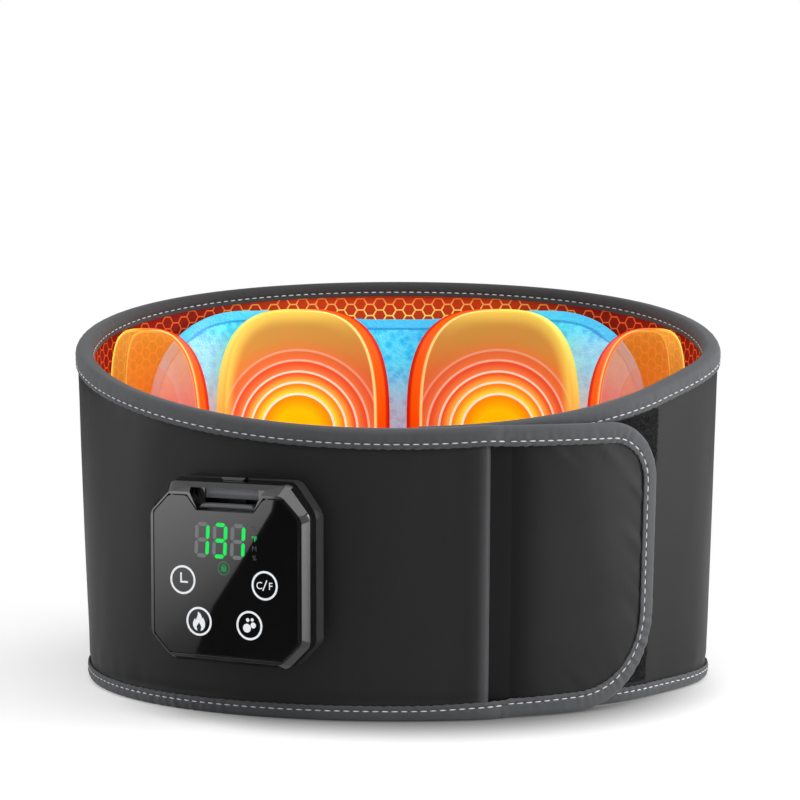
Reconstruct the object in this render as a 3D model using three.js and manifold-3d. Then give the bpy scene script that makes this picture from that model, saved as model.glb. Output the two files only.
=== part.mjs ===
// Hot and cold therapy waist belt, closed and standing on its lower edge.
// A padded strip is bent round the waist and closed by a hook and loop flap. Four heat and massage pads
// and a cold gel pack line its back, and a control pod is docked on its front left.
// Millimetres and degrees, +Z up, the closure and the pod towards -Y. Left and right are as seen from there.

import * as THREE from 'three';
import Module from 'manifold-3d';
import { mergeVertices } from 'three/addons/utils/BufferGeometryUtils.js';

const wasm = await Module();
wasm.setup();

// General clearances
const layer_gap = 0.3;
const running_gap = 0.4;
const cut_overrun = 2;

// Belt plan and rim
const belt_half_width = 157;
const belt_half_depth = 117.5;
const plan_power_share = 2.07;
const wall_lean_share = 0.03;
const rim_mean_height = 169.6;
const rim_tilt_height = 32.8;
const rim_crown_height = 2.35;
const belt_step = 15.5;

// Belt layers, counted inwards from the outer cover's face
const cover_thickness = 1.5;
const foam_thickness = 2.9;
const lining_thickness = 1;

// Edge binding
const binding_thickness = 1;
const binding_height = 10;

// Closure: where the front panel ends, and the tail that runs behind it
const seam_from_front = 49;
const tail_from_front = 10;
const tail_inset = 9.2;
const tail_full_inset_to = 142;
const tail_no_inset_from = 205;

// Flap
const flap_length = 79;
const flap_below_rim = 1.23;
const flap_floor_gap = 0.6;
const flap_thickness = 3.4;
const flap_top_radius = 29;
const flap_bottom_radius = 45;
const hook_thickness = 1.3;
const loop_thickness = 1.4;
const strip_margin = 12;
const loop_past_flap = 2;

// Harness ribbon and the channel for it in the foam
const ribbon_height = 55.2;
const ribbon_width = 6;
const ribbon_thickness = 2;
const lead_width = 7;
const lead_thickness = 1.6;

// Cold gel pack
const pack_half_length = 158;
const pack_bottom = 58.5;
const pack_top = 184;
const pack_thickness = 4.5;
const pack_rim_thickness = 1.6;
const pack_rim_width = 5;
const pack_shoulder = 6;
const pack_corner = 24;

// Heat and massage pads, in two mirrored pairs
const pad_thickness = 8;
const pad_wall = 1.4;
const pad_face_height = 135;
const pad_power_share = 2.85;
const pad_plain_slope = 3;
const pad_foot_height = 12;
const pad_foot_width = 16;
const pad_foot_spacing = 30;
const inner_pad = { from_spine: 63, face_width: 94, spine_slope: 11, centre_height: 117.5 };
const outer_pad = { from_spine: 174, face_width: 88, spine_slope: 14, centre_height: 106.5 };
const film_thickness = 0.6;
const film_size_share = 0.75;
const film_seat_share = 0.2;

// Vibration motor in each pad
const motor_diameter = 14;
const motor_height = 3.6;
const motor_wall = 0.6;
const shaft_diameter = 1.4;
const shaft_head_diameter = 3;
const shaft_head_height = 0.5;
const weight_thickness = 1.8;

// Control pod: how far round the wall from the front centre, how far off it, and turned how far from facing out
const pod_from_front = 70.07;
const pod_stand_off = 5.24;
const pod_centre_height = 68;
const pod_turn = 6.02;
const pod_width = 82;
const pod_height = 80;
const pod_depth = 17;
const pod_split = 7;
const pod_corner = 11;
const pod_bevel = 4;
const pod_wall = 2;
const glass_width = 72;
const glass_height = 70;
const glass_corner = 8;
const glass_thickness = 1.2;
const glass_ledge = 3.5;

// Finger pocket and release bar at the pod's top edge
const pocket_top_width = 38;
const pocket_floor_width = 28;
const notch_depth = 6;
const pocket_depth = 6.2;
const pocket_roof = 1.6;
const release_travel = 2;
const release_width = 27;
const release_height = 4.3;
const release_thickness = 2.6;
const leg_width = 8;
const catch_thickness = 1.5;
const spring_diameter = 4;
const spring_wire = 0.6;
const spring_turns = 5;

// Dock on the belt
const dock_width = 70;
const dock_height = 68;
const dock_corner = 9;
const dock_peg_diameter = 5;
const dock_peg_height = 1.7;
const dock_peg_spacing = 44;
const tongue_width = 9;
const tongue_thickness = 2;
const contact_width = 16;
const contact_height = 6;
const contact_depth = 1.5;

// Inside the pod
const board_thickness = 1.2;
const board_margin = 2.5;
const battery_width = 56;
const battery_height = 50;
const battery_thickness = 5;
const display_width = 36;
const display_height = 19;
const display_centre = { across: 1, up: 15.5 };
const key_diameter = 8;
const key_wall = 0.8;
const key_places = [
  { across: -21.3, up: -2.5 },
  { across: 19.6, up: -2.5 },
  { across: -13.2, up: -20.4 },
  { across: 12, up: -20.4 },
];
const socket_width = 9;
const socket_height = 3.1;
const socket_depth = 7;
const socket_wall = 0.35;
const screw_diameter = 2;
const screw_length = 8;
const screw_head_diameter = 3.8;
const screw_head_height = 1.2;
const screw_boss_diameter = 5.5;
const screw_inset = 9;

// Layer positions across the wall, outwards positive
const foam_outer = -cover_thickness - layer_gap;
const foam_inner = foam_outer - foam_thickness;
const lining_outer = foam_inner - layer_gap;
const wall_inner = lining_outer - lining_thickness;
const edge_gap = binding_thickness + layer_gap;
const flap_middle = -cover_thickness - layer_gap - layer_gap - flap_thickness / 2;

// Plan curve, with its length measured from the front centre towards +X

const plan_samples = 720;
const round_sides = 14;
const full_turn = 2 * Math.PI;
const front_angle = -Math.PI / 2;

function powered(value, power) {
  return Math.sign(value) * Math.pow(Math.abs(value), power);
}

function planPoint(angle) {
  const power = 2 / plan_power_share;
  return new THREE.Vector2(
    belt_half_width * powered(Math.cos(angle), power),
    belt_half_depth * powered(Math.sin(angle), power),
  );
}

function planNormal(angle) {
  const power = 2 - 2 / plan_power_share;
  const across = powered(Math.cos(angle), power) / belt_half_width;
  const deep = powered(Math.sin(angle), power) / belt_half_depth;
  return new THREE.Vector2(across, deep).normalize();
}

function planLengths() {
  const lengths = [0];
  let last = planPoint(front_angle);
  for (let i = 1; i <= plan_samples; i += 1) {
    const next = planPoint(front_angle + (i / plan_samples) * full_turn);
    lengths.push(lengths[i - 1] + next.distanceTo(last));
    last = next;
  }
  return lengths;
}

const plan_lengths = planLengths();
const plan_length = plan_lengths[plan_samples];

function angleAt(along) {
  const turns = Math.floor(along / plan_length);
  const rest = along - turns * plan_length;
  let i = 1;
  while (plan_lengths[i] < rest) {
    i += 1;
  }
  const share = (rest - plan_lengths[i - 1]) / (plan_lengths[i] - plan_lengths[i - 1]);
  return front_angle + ((i - 1 + share) / plan_samples + turns) * full_turn;
}

function tailInset(along) {
  const share = (along - tail_full_inset_to) / (tail_no_inset_from - tail_full_inset_to);
  return tail_inset * (1 - THREE.MathUtils.smoothstep(share, 0, 1));
}

// A point of the belt's wall: along the strip, outwards from the cover's face, and up
function place(along, out, up) {
  const angle = angleAt(along);
  const point = planPoint(angle);
  const normal = planNormal(angle);
  const reach = out + wall_lean_share * up - tailInset(along);
  return new THREE.Vector3(point.x + normal.x * reach, point.y + normal.y * reach, up);
}

// What slides up or stands plumb inside the wall follows the wall's foot, not its lean
const plumb_height = pack_bottom - pad_foot_height;

function placePlumb(along, out, up) {
  const foot = place(along, out, plumb_height);
  return new THREE.Vector3(foot.x, foot.y, up);
}

function rimHeight(along) {
  const angle = angleAt(along);
  return rim_mean_height + rim_tilt_height * Math.sin(angle) + rim_crown_height * Math.cos(2 * angle);
}

const spine = plan_length / 2;
const seam = plan_length + seam_from_front;
const flap_hinge = seam + flap_thickness;
const flap_tip = flap_hinge + flap_length;
const flap_high = rimHeight(flap_hinge) - flap_below_rim;
const dock_lead = plan_length - pod_from_front;

// Geometry and boolean helpers

function meshFrom(points, faces) {
  const geometry = new THREE.BufferGeometry();
  geometry.setAttribute('position', new THREE.Float32BufferAttribute(points, 3));
  geometry.setIndex(faces);
  return geometry;
}

function signedVolume(points, faces) {
  const a = new THREE.Vector3();
  const b = new THREE.Vector3();
  const c = new THREE.Vector3();
  let sum = 0;
  for (let i = 0; i < faces.length; i += 3) {
    a.fromArray(points, 3 * faces[i]);
    b.fromArray(points, 3 * faces[i + 1]);
    c.fromArray(points, 3 * faces[i + 2]);
    sum += a.dot(b.cross(c));
  }
  return sum;
}

// Closed loops of equal count are joined one after the other, and the ends are capped
function loft(loops, capFaces) {
  const count = loops[0].length;
  const points = loops.flat().flatMap((point) => point.toArray());
  const faces = [];
  for (let i = 0; i + 1 < loops.length; i += 1) {
    for (let j = 0; j < count; j += 1) {
      const here = i * count + j;
      const beside = i * count + ((j + 1) % count);
      faces.push(here, beside, beside + count);
      faces.push(here, beside + count, here + count);
    }
  }
  const last = (loops.length - 1) * count;
  for (const [a, b, c] of capFaces) {
    faces.push(c, b, a);
    faces.push(last + a, last + b, last + c);
  }
  if (signedVolume(points, faces) < 0) {
    faces.reverse();
  }
  return meshFrom(points, faces);
}

// Faces that fill a flat outline, wound the same way as its points
function outlineFaces(flat) {
  const faces = THREE.ShapeUtils.triangulateShape(flat, []);
  const wound = faces.reduce((sum, [a, b, c]) => sum + THREE.ShapeUtils.area([flat[a], flat[b], flat[c]]), 0);
  if (wound * THREE.ShapeUtils.area(flat) < 0) {
    faces.forEach((face) => face.reverse());
  }
  return faces;
}

function fanFaces(count) {
  const faces = [];
  for (let i = 1; i + 1 < count; i += 1) {
    faces.push([0, i, i + 1]);
  }
  return faces;
}

function solidFrom(geometry) {
  const bare = geometry.clone();
  bare.deleteAttribute('normal');
  bare.deleteAttribute('uv');
  const merged = mergeVertices(bare);
  return new wasm.Manifold(new wasm.Mesh({
    numProp: 3,
    vertProperties: new Float32Array(merged.attributes.position.array),
    triVerts: new Uint32Array(merged.index.array),
  }));
}

function geometryFrom(solid) {
  const mesh = solid.getMesh();
  return meshFrom(Array.from(mesh.vertProperties), Array.from(mesh.triVerts));
}

function carve(body, ...cutters) {
  return cutters.reduce((left, cutter) => left.subtract(cutter), body);
}

function unite(...solids) {
  return solids.reduce((sum, solid) => sum.add(solid));
}

function named(name, geometry, look) {
  const flat = geometry.index ? geometry.toNonIndexed() : geometry;
  flat.computeVertexNormals();
  const material = new THREE.MeshStandardMaterial(look);
  const mesh = new THREE.Mesh(flat, material);
  mesh.name = name;
  return mesh;
}

// Looks
const neoprene = { color: 0x2b2b2d, roughness: 0.75, metalness: 0 };
const binding_cloth = { color: 0x5c5c5f, roughness: 0.85, metalness: 0 };
const foam = { color: 0x8c8c86, roughness: 0.9, metalness: 0 };
const lining_cloth = { color: 0x8f2413, roughness: 0.7, metalness: 0 };
const fastener_cloth = { color: 0x161617, roughness: 0.95, metalness: 0 };
const pad_silicone = { color: 0xe8742a, roughness: 0.35, metalness: 0 };
const film_copper = { color: 0xb86a2f, roughness: 0.5, metalness: 0.4 };
const steel = { color: 0xb4b6b8, roughness: 0.3, metalness: 0.9 };
const gel = { color: 0x4fc3ee, roughness: 0.2, metalness: 0 };
const pod_plastic = { color: 0x111113, roughness: 0.25, metalness: 0 };
const dock_plastic = { color: 0x1b1b1d, roughness: 0.5, metalness: 0 };
const panel_glass = { color: 0x1c1c1f, roughness: 0.08, metalness: 0 };
const board_green = { color: 0x1f5a3a, roughness: 0.6, metalness: 0 };
const cell_foil = { color: 0x9aa0a6, roughness: 0.4, metalness: 0.6 };
const gold = { color: 0xc9a14a, roughness: 0.3, metalness: 0.9 };

// Sweeps along the wall

function stationsBetween(start, end) {
  const steps = Math.ceil((end - start) / belt_step);
  return Array.from({ length: steps + 1 }, (unused, i) => start + ((end - start) * i) / steps);
}

// A closed section of [out, up] corners swept along the strip
function sweepWall(stations, sectionAt, placer = place) {
  const flat = sectionAt(stations[0]).map(([out, up]) => new THREE.Vector2(out, up));
  const caps = outlineFaces(flat);
  const loops = stations.map((along) => sectionAt(along).map(([out, up]) => placer(along, out, up)));
  return loft(loops, caps);
}

function boxSection(inner, outer, low, high) {
  return [[inner, low], [outer, low], [outer, high], [inner, high]];
}

// A box in strip coordinates, bent with the wall
function wallBox(start, end, inner, outer, low, high, placer = place) {
  return solidFrom(sweepWall(stationsBetween(start, end), () => boxSection(inner, outer, low, high), placer));
}

// A folded tape over an edge at height edge; side is 1 for an upper edge and -1 for a lower one
function bindingSection(edge, side) {
  const leg = edge - side * binding_height;
  const web = edge - side * binding_thickness;
  const face = layer_gap;
  const back = wall_inner - layer_gap;
  return [
    [face + binding_thickness, leg], [face + binding_thickness, edge],
    [back - binding_thickness, edge], [back - binding_thickness, leg],
    [back, leg], [back, web], [face, web], [face, leg],
  ];
}

// Padded strip

const roll_length = cover_thickness + foam_thickness;
const strip_start = tail_from_front + edge_gap;
const strip_end = seam - roll_length - layer_gap;
const strip_stations = stationsBetween(strip_start, strip_end);
const channel_low = ribbon_height - ribbon_width / 2 - layer_gap;
const channel_high = ribbon_height + ribbon_width / 2 + layer_gap;

function outerCover(ribbonEnd) {
  const skin = solidFrom(sweepWall(
    strip_stations,
    (along) => boxSection(-cover_thickness, 0, edge_gap, rimHeight(along) - edge_gap),
  ));
  const half = lead_width / 2 + running_gap;
  const slot = wallBox(
    ribbonEnd - half, ribbonEnd + half,
    -cover_thickness - cut_overrun, cut_overrun, channel_low, channel_high,
  );
  return geometryFrom(carve(skin, slot));
}

function coreFoam(upper) {
  return sweepWall(strip_stations, (along) => {
    const low = upper ? channel_high : edge_gap;
    const high = upper ? rimHeight(along) - edge_gap : channel_low;
    return boxSection(foam_inner, foam_outer, low, high);
  });
}

function innerLining(leads) {
  const skin = solidFrom(sweepWall(
    strip_stations,
    (along) => boxSection(wall_inner, lining_outer, edge_gap, rimHeight(along) - edge_gap),
  ));
  const half = lead_width / 2 + running_gap;
  const slots = leads.map((lead) => wallBox(
    lead - half, lead + half, wall_inner - cut_overrun, lining_outer + cut_overrun, channel_low, channel_high,
  ));
  return geometryFrom(carve(skin, ...slots));
}

function rimBinding() {
  const stations = stationsBetween(tail_from_front, seam - layer_gap);
  return sweepWall(stations, (along) => bindingSection(rimHeight(along), 1));
}

function footBinding() {
  const stations = stationsBetween(tail_from_front, seam - layer_gap);
  return sweepWall(stations, () => bindingSection(0, -1));
}

function tailEndBinding() {
  const low = binding_height + layer_gap;
  const high = rimHeight(tail_from_front) - binding_height - layer_gap;
  const face = layer_gap;
  const back = wall_inner - layer_gap;
  const end = tail_from_front + binding_height;
  const whole = wallBox(
    tail_from_front, end, back - binding_thickness, face + binding_thickness, low, high,
  );
  const inside = wallBox(
    tail_from_front + binding_thickness, end + cut_overrun, back, face, low - cut_overrun, high + cut_overrun,
  );
  return geometryFrom(carve(whole, inside));
}

// The front panel's end is rolled over, so its section in plan ends in a half round
function seamRoll() {
  const radius = -wall_inner / 2;
  const start = strip_end + layer_gap;
  const centre = seam - radius;
  const corners = [[start, 0], [start, wall_inner]];
  const arc_steps = 8;
  for (let i = 0; i <= arc_steps; i += 1) {
    const turn = -Math.PI / 2 + (Math.PI * i) / arc_steps;
    corners.push([centre + radius * Math.cos(turn), -radius + radius * Math.sin(turn)]);
  }
  const loops = [edge_gap, rimHeight(seam) - edge_gap].map(
    (up) => corners.map(([along, out]) => place(along, out, up)),
  );
  return loft(loops, fanFaces(corners.length));
}

// Flap: panel, folded binding round its free edge, and the hook patch on its back

const flap_corner_steps = 6;

function arcPoints(centreAlong, centreUp, radius, start, end) {
  return Array.from({ length: flap_corner_steps + 1 }, (unused, i) => {
    const turn = start + ((end - start) * i) / flap_corner_steps;
    return new THREE.Vector2(centreAlong + radius * Math.cos(turn), centreUp + radius * Math.sin(turn));
  });
}

// The flap's free edge, from the hinge along the floor, round the tip and back along the top
function flapEdge(inset) {
  const low = flap_floor_gap + inset;
  const high = flap_high - inset;
  const tip = flap_tip - inset;
  const bottom = flap_bottom_radius - inset;
  const top = flap_top_radius - inset;
  const straight = stationsBetween(flap_hinge, tip - bottom);
  const back = stationsBetween(flap_hinge, tip - top).reverse();
  return [
    ...straight.slice(0, -1).map((along) => new THREE.Vector2(along, low)),
    ...arcPoints(tip - bottom, low + bottom, bottom, -Math.PI / 2, 0),
    ...arcPoints(tip - top, high - top, top, 0, Math.PI / 2),
    ...back.slice(1).map((along) => new THREE.Vector2(along, high)),
  ];
}

// Lowest and highest point of the flap, drawn in by inset, at a place along it
function flapReach(along, inset) {
  const tip = flap_tip - inset;
  const bottom = flap_bottom_radius - inset;
  const top = flap_top_radius - inset;
  const pastBottom = Math.max(0, along - (tip - bottom));
  const pastTop = Math.max(0, along - (tip - top));
  const low = flap_floor_gap + inset + bottom - Math.sqrt(Math.max(0, bottom ** 2 - pastBottom ** 2));
  const high = flap_high - inset - top + Math.sqrt(Math.max(0, top ** 2 - pastTop ** 2));
  return [low, high];
}

function flapSheet(start, inset, inner, outer) {
  const bottom = flap_bottom_radius - inset;
  const tip = flap_tip - inset;
  const stations = stationsBetween(start, tip - bottom);
  for (let i = 1; i <= flap_corner_steps; i += 1) {
    stations.push(tip - bottom + bottom * Math.sin((Math.PI / 2) * (i / flap_corner_steps)));
  }
  return sweepWall(stations, (along) => {
    const [low, high] = flapReach(along, inset);
    return boxSection(inner, outer, low, high);
  });
}

const flap_face = flap_middle + flap_thickness / 2;
const flap_back = flap_middle - flap_thickness / 2;

function flapPanel() {
  return flapSheet(flap_hinge, edge_gap, flap_back, flap_face);
}

function hookPatch() {
  const start = flap_hinge + strip_margin;
  return flapSheet(start, strip_margin, flap_back - layer_gap - hook_thickness, flap_back - layer_gap);
}

function flapBinding() {
  const edge = flapEdge(0);
  const face = flap_face + layer_gap;
  const back = flap_back - layer_gap;
  const section = [
    [binding_height, face + binding_thickness], [0, face + binding_thickness],
    [0, back - binding_thickness], [binding_height, back - binding_thickness],
    [binding_height, back], [binding_thickness, back], [binding_thickness, face], [binding_height, face],
  ];
  const loops = edge.map((point, i) => {
    const before = edge[Math.max(i - 1, 0)];
    const after = edge[Math.min(i + 1, edge.length - 1)];
    const run = after.clone().sub(before).normalize();
    return section.map(([inward, out]) => place(point.x - run.y * inward, out, point.y + run.x * inward));
  });
  const flat = section.map(([inward, out]) => new THREE.Vector2(inward, out));
  return loft(loops, outlineFaces(flat));
}

// The loop strip lies on the tail, under the flap and a little past its tip
function loopStrip() {
  const start = flap_hinge - plan_length + strip_margin;
  const end = flap_tip - plan_length + loop_past_flap;
  const base = layer_gap;
  return sweepWall(stationsBetween(start, end), (along) => {
    const high = rimHeight(along) - strip_margin;
    return boxSection(base, base + loop_thickness, strip_margin, high);
  });
}

// Cold gel pack: a crowned pouch with a flat welded rim, standing plumb between lining and pads

const pack_outer = wall_inner - layer_gap;
const pack_middle = pack_outer - pack_thickness / 2;
const pad_back = pack_outer - pack_thickness - running_gap;

function packSection(low, high, fullness) {
  const rim = pack_rim_thickness / 2;
  const body = rim + (pack_thickness / 2 - rim) * fullness;
  const lowRim = low + pack_rim_width;
  const highRim = high - pack_rim_width;
  const lowBody = lowRim + pack_shoulder;
  const highBody = highRim - pack_shoulder;
  return [
    [pack_middle + rim, low], [pack_middle + rim, lowRim], [pack_middle + body, lowBody],
    [pack_middle + body, highBody], [pack_middle + rim, highRim], [pack_middle + rim, high],
    [pack_middle - rim, high], [pack_middle - rim, highRim], [pack_middle - body, highBody],
    [pack_middle - body, lowBody], [pack_middle - rim, lowRim], [pack_middle - rim, low],
  ];
}

function coldPack() {
  const reach = pack_half_length - pack_corner;
  const straight = stationsBetween(spine - reach, spine + reach);
  const ends = [];
  for (let i = 1; i <= flap_corner_steps; i += 1) {
    ends.push(pack_corner * Math.sin((Math.PI / 2) * (i / flap_corner_steps)));
  }
  const first = straight[0];
  const last = straight[straight.length - 1];
  const stations = [
    ...ends.map((end) => first - end).reverse(),
    ...straight,
    ...ends.map((end) => last + end),
  ];
  return sweepWall(stations, (along) => {
    const past = Math.max(0, first - along, along - last);
    const drop = pack_corner - Math.sqrt(Math.max(0, pack_corner ** 2 - past ** 2));
    const fullness = 1 - THREE.MathUtils.smoothstep(past, 0, pack_corner - pack_rim_width);
    return packSection(pack_bottom + drop, pack_top - drop, fullness);
  }, placePlumb);
}

// Heat and massage pads

const pad_outline_points = 28;
const film_ring_shares = [film_size_share, film_seat_share];
const pad_ring_shares = [1, ...film_ring_shares];

function padOutline(pad, side, grow) {
  const centre = spine + side * pad.from_spine;
  const spineHalf = pad.face_width / 2 + grow.spine;
  const plainHalf = pad.face_width / 2 + grow.plain;
  const half = (spineHalf + plainHalf) / 2;
  const shift = (side * (plainHalf - spineHalf)) / 2;
  const tall = pad_face_height / 2 + grow.plain;
  const power = 2 / pad_power_share;
  return Array.from({ length: pad_outline_points }, (unused, i) => {
    const turn = (full_turn * i) / pad_outline_points;
    return {
      along: centre + shift + half * powered(Math.cos(turn), power),
      up: pad.centre_height + tall * powered(Math.sin(turn), power),
      middle: { along: centre + shift, up: pad.centre_height },
    };
  });
}

function ringAt(outline, share, out) {
  return outline.map(({ along, up, middle }) => placePlumb(
    middle.along + (along - middle.along) * share,
    out,
    middle.up + (up - middle.up) * share,
  ));
}

// Rings from the first to the last, each closed, with both end rings filled
function stackRings(rings) {
  return loft(rings, fanFaces(rings[0].length));
}

function padShell(pad, side) {
  const base = padOutline(pad, side, { spine: pad.spine_slope, plain: pad_plain_slope });
  const face = padOutline(pad, side, { spine: 0, plain: 0 });
  const innerBase = padOutline(pad, side, {
    spine: pad.spine_slope - pad_wall,
    plain: pad_plain_slope - pad_wall,
  });
  const innerFace = padOutline(pad, side, { spine: -pad_wall, plain: -pad_wall });
  const front = pad_back - pad_thickness;
  const rings = [
    ...pad_ring_shares.map((share) => ringAt(innerFace, share, front + pad_wall)).reverse(),
    ringAt(innerBase, 1, pad_back),
    ringAt(base, 1, pad_back),
    ...pad_ring_shares.map((share) => ringAt(face, share, front)),
  ];
  const centre = spine + side * pad.from_spine;
  const foot_low = pad.centre_height - pad_face_height / 2 - pad_plain_slope;
  const foot_high = Math.min(foot_low + pad_foot_height, pack_bottom - running_gap);
  const feet = [-1, 1].map((way) => wallBox(
    centre + (way * pad_foot_spacing - pad_foot_width) / 2,
    centre + (way * pad_foot_spacing + pad_foot_width) / 2,
    pad_back - pad_wall,
    pack_outer - layer_gap,
    foot_low + pad_wall,
    foot_high,
    placePlumb,
  ));
  return geometryFrom(unite(solidFrom(stackRings(rings)), ...feet));
}

function heatFilm(pad, side) {
  const face = padOutline(pad, side, { spine: -pad_wall, plain: -pad_wall });
  const near = pad_back - pad_thickness + pad_wall + layer_gap;
  const rings = [
    ...film_ring_shares.map((share) => ringAt(face, share, near)).reverse(),
    ...film_ring_shares.map((share) => ringAt(face, share, near + film_thickness)),
  ];
  return stackRings(rings);
}

// Lathe profiles turn about the motor's shaft, with the floor on the film and the mouth to the back
function motorCan() {
  const radius = motor_diameter / 2;
  const shaft = shaft_diameter / 2;
  const head = shaft_head_diameter / 2;
  const headLow = motor_height - shaft_head_height;
  const profile = [
    [0, 0], [radius, 0], [radius, motor_height], [radius - motor_wall, motor_height],
    [radius - motor_wall, motor_wall], [shaft, motor_wall], [shaft, headLow],
    [head, headLow], [head, motor_height], [0, motor_height],
  ].map(([across, up]) => new THREE.Vector2(across, up));
  return new THREE.LatheGeometry(profile, round_sides);
}

function eccentricWeight() {
  const radius = motor_diameter / 2 - motor_wall - running_gap;
  const bore = shaft_diameter / 2 + layer_gap;
  const hub = shaft_head_diameter / 2 + layer_gap;
  const shape = new THREE.Shape();
  shape.absarc(0, 0, radius, 0, Math.PI);
  shape.absarc(0, 0, hub, Math.PI, full_turn);
  shape.closePath();
  const hole = new THREE.Path();
  hole.absarc(0, 0, bore, 0, full_turn, true);
  shape.holes.push(hole);
  const settings = { depth: weight_thickness, bevelEnabled: false, curveSegments: round_sides / 2 };
  return new THREE.ExtrudeGeometry(shape, settings);
}

// Puts a motor piece on its pad's film, turned so that its own Z points outwards through the belt
function seatOnFilm(mesh, pad, side, lift) {
  const out = pad_back - pad_thickness + pad_wall + layer_gap + film_thickness + layer_gap + lift;
  const along = spine + side * pad.from_spine;
  const seat = placePlumb(along, out, pad.centre_height);
  const ahead = placePlumb(along, out + 1, pad.centre_height);
  mesh.position.copy(seat);
  mesh.up.set(0, 0, 1);
  mesh.lookAt(ahead);
  return mesh;
}

function padParts(label, pad, side) {
  const motor = motorCan().rotateX(Math.PI / 2);
  const weightLift = motor_wall + layer_gap;
  return [
    named(`pad_shell_${label}`, padShell(pad, side), pad_silicone),
    named(`heat_film_${label}`, heatFilm(pad, side), film_copper),
    seatOnFilm(named(`motor_can_${label}`, motor, steel), pad, side, 0),
    seatOnFilm(named(`motor_weight_${label}`, eccentricWeight(), steel), pad, side, weightLift),
  ];
}

// Harness ribbon in the foam's channel, with a lead through the lining to each pad's film

const pad_places = [
  { label: 'outer_left', pad: outer_pad, side: 1 },
  { label: 'inner_left', pad: inner_pad, side: 1 },
  { label: 'inner_right', pad: inner_pad, side: -1 },
  { label: 'outer_right', pad: outer_pad, side: -1 },
];
const lead_places = pad_places.map(({ pad, side }) => spine + side * pad.from_spine);

function harnessRibbon() {
  const outer = foam_outer - layer_gap;
  const inner = outer - ribbon_thickness;
  const low = ribbon_height - ribbon_width / 2;
  const high = ribbon_height + ribbon_width / 2;
  const half = lead_width / 2;
  const run = wallBox(lead_places[3] - half, dock_lead + half, inner, outer, low, high);
  const film_back = pad_back - pad_thickness + pad_wall + layer_gap + film_thickness + layer_gap;
  const leads = lead_places.flatMap((lead, i) => {
    const filmFoot = pad_places[i].pad.centre_height - (film_size_share * pad_face_height) / 2;
    const riser = filmFoot + lead_width;
    return [
      wallBox(lead - half, lead + half, film_back, outer, low + layer_gap, high - layer_gap, placePlumb),
      wallBox(
        lead - half, lead + half, film_back, film_back + lead_thickness,
        low + layer_gap, riser, placePlumb,
      ),
    ];
  });
  const dockLead = wallBox(
    dock_lead - half, dock_lead + half, inner, contact_depth, low + layer_gap, high - layer_gap,
  );
  return geometryFrom(unite(run, ...leads, dockLead));
}

// Pod pieces, modelled with X across, Z up and -Y out through the glass

// A rectangle with cut corners, centred on the origin
function cutCornerPoints(width, height, corner) {
  const across = width / 2;
  const up = height / 2;
  return [
    [across - corner, -up], [across, -up + corner], [across, up - corner], [across - corner, up],
    [-across + corner, up], [-across, up - corner], [-across, -up + corner], [-across + corner, -up],
  ];
}

function slab(points, from, to) {
  const loops = [from, to].map((out) => points.map(([across, up]) => new THREE.Vector3(across, -out, up)));
  const flat = points.map(([across, up]) => new THREE.Vector2(across, up));
  return solidFrom(loft(loops, outlineFaces(flat)));
}

function podBox(left, right, low, high, from, to) {
  return slab([[left, low], [right, low], [right, high], [left, high]], from, to);
}

// A frustum between two outlines of equal count
function taper(back, front, from, to) {
  const loops = [
    back.map(([across, up]) => new THREE.Vector3(across, -from, up)),
    front.map(([across, up]) => new THREE.Vector3(across, -to, up)),
  ];
  return solidFrom(loft(loops, fanFaces(back.length)));
}

// A round bar along the outward direction
function podRod(across, up, diameter, from, to) {
  const rod = new THREE.CylinderGeometry(diameter / 2, diameter / 2, to - from, round_sides);
  rod.translate(across, -(from + to) / 2, up);
  return solidFrom(rod);
}

const bevel_start = pod_depth - pod_bevel;
const bezel_front_width = pod_width - 2 * pod_bevel;
const bezel_front_height = pod_height - 2 * pod_bevel;
const body_outline = cutCornerPoints(pod_width, pod_height, pod_corner);
const cavity_outline = cutCornerPoints(
  pod_width - 2 * pod_wall, pod_height - 2 * pod_wall, pod_corner - pod_wall / 2,
);
const glass_back = pod_depth - glass_thickness;
const pocket_back = pod_depth - pocket_depth;
const pocket_ceiling = pod_height / 2 - pocket_roof;
const pocket_sill = glass_height / 2 - notch_depth;
const screw_places = [[-1, -1], [1, -1], [-1, 1], [1, 1]].map(([across, up]) => ({
  across: across * (pod_width / 2 - screw_inset),
  up: up * (pod_height / 2 - screw_inset),
}));

// The glass and its ledge have a trapezoid notch at the top edge, under the finger pocket
function notchedOutline(width, height, corner, grow) {
  const across = width / 2;
  const up = height / 2;
  const sill = pocket_sill - grow;
  const top = pocket_top_width / 2 + grow;
  const floor = pocket_floor_width / 2 + grow;
  return [
    [across - corner, -up], [across, -up + corner], [across, up - corner], [across - corner, up],
    [top, up], [floor, sill], [-floor, sill], [-top, up],
    [-across + corner, up], [-across, up - corner], [-across, -up + corner], [-across + corner, -up],
  ];
}

const glass_outline = notchedOutline(glass_width, glass_height, glass_corner, layer_gap);
const recess_outline = notchedOutline(
  glass_width + 2 * layer_gap, glass_height + 2 * layer_gap, glass_corner, 0,
);
const window_outline = notchedOutline(
  glass_width - 2 * glass_ledge, glass_height - 2 * glass_ledge, glass_corner - glass_ledge / 2, glass_ledge,
);

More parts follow.
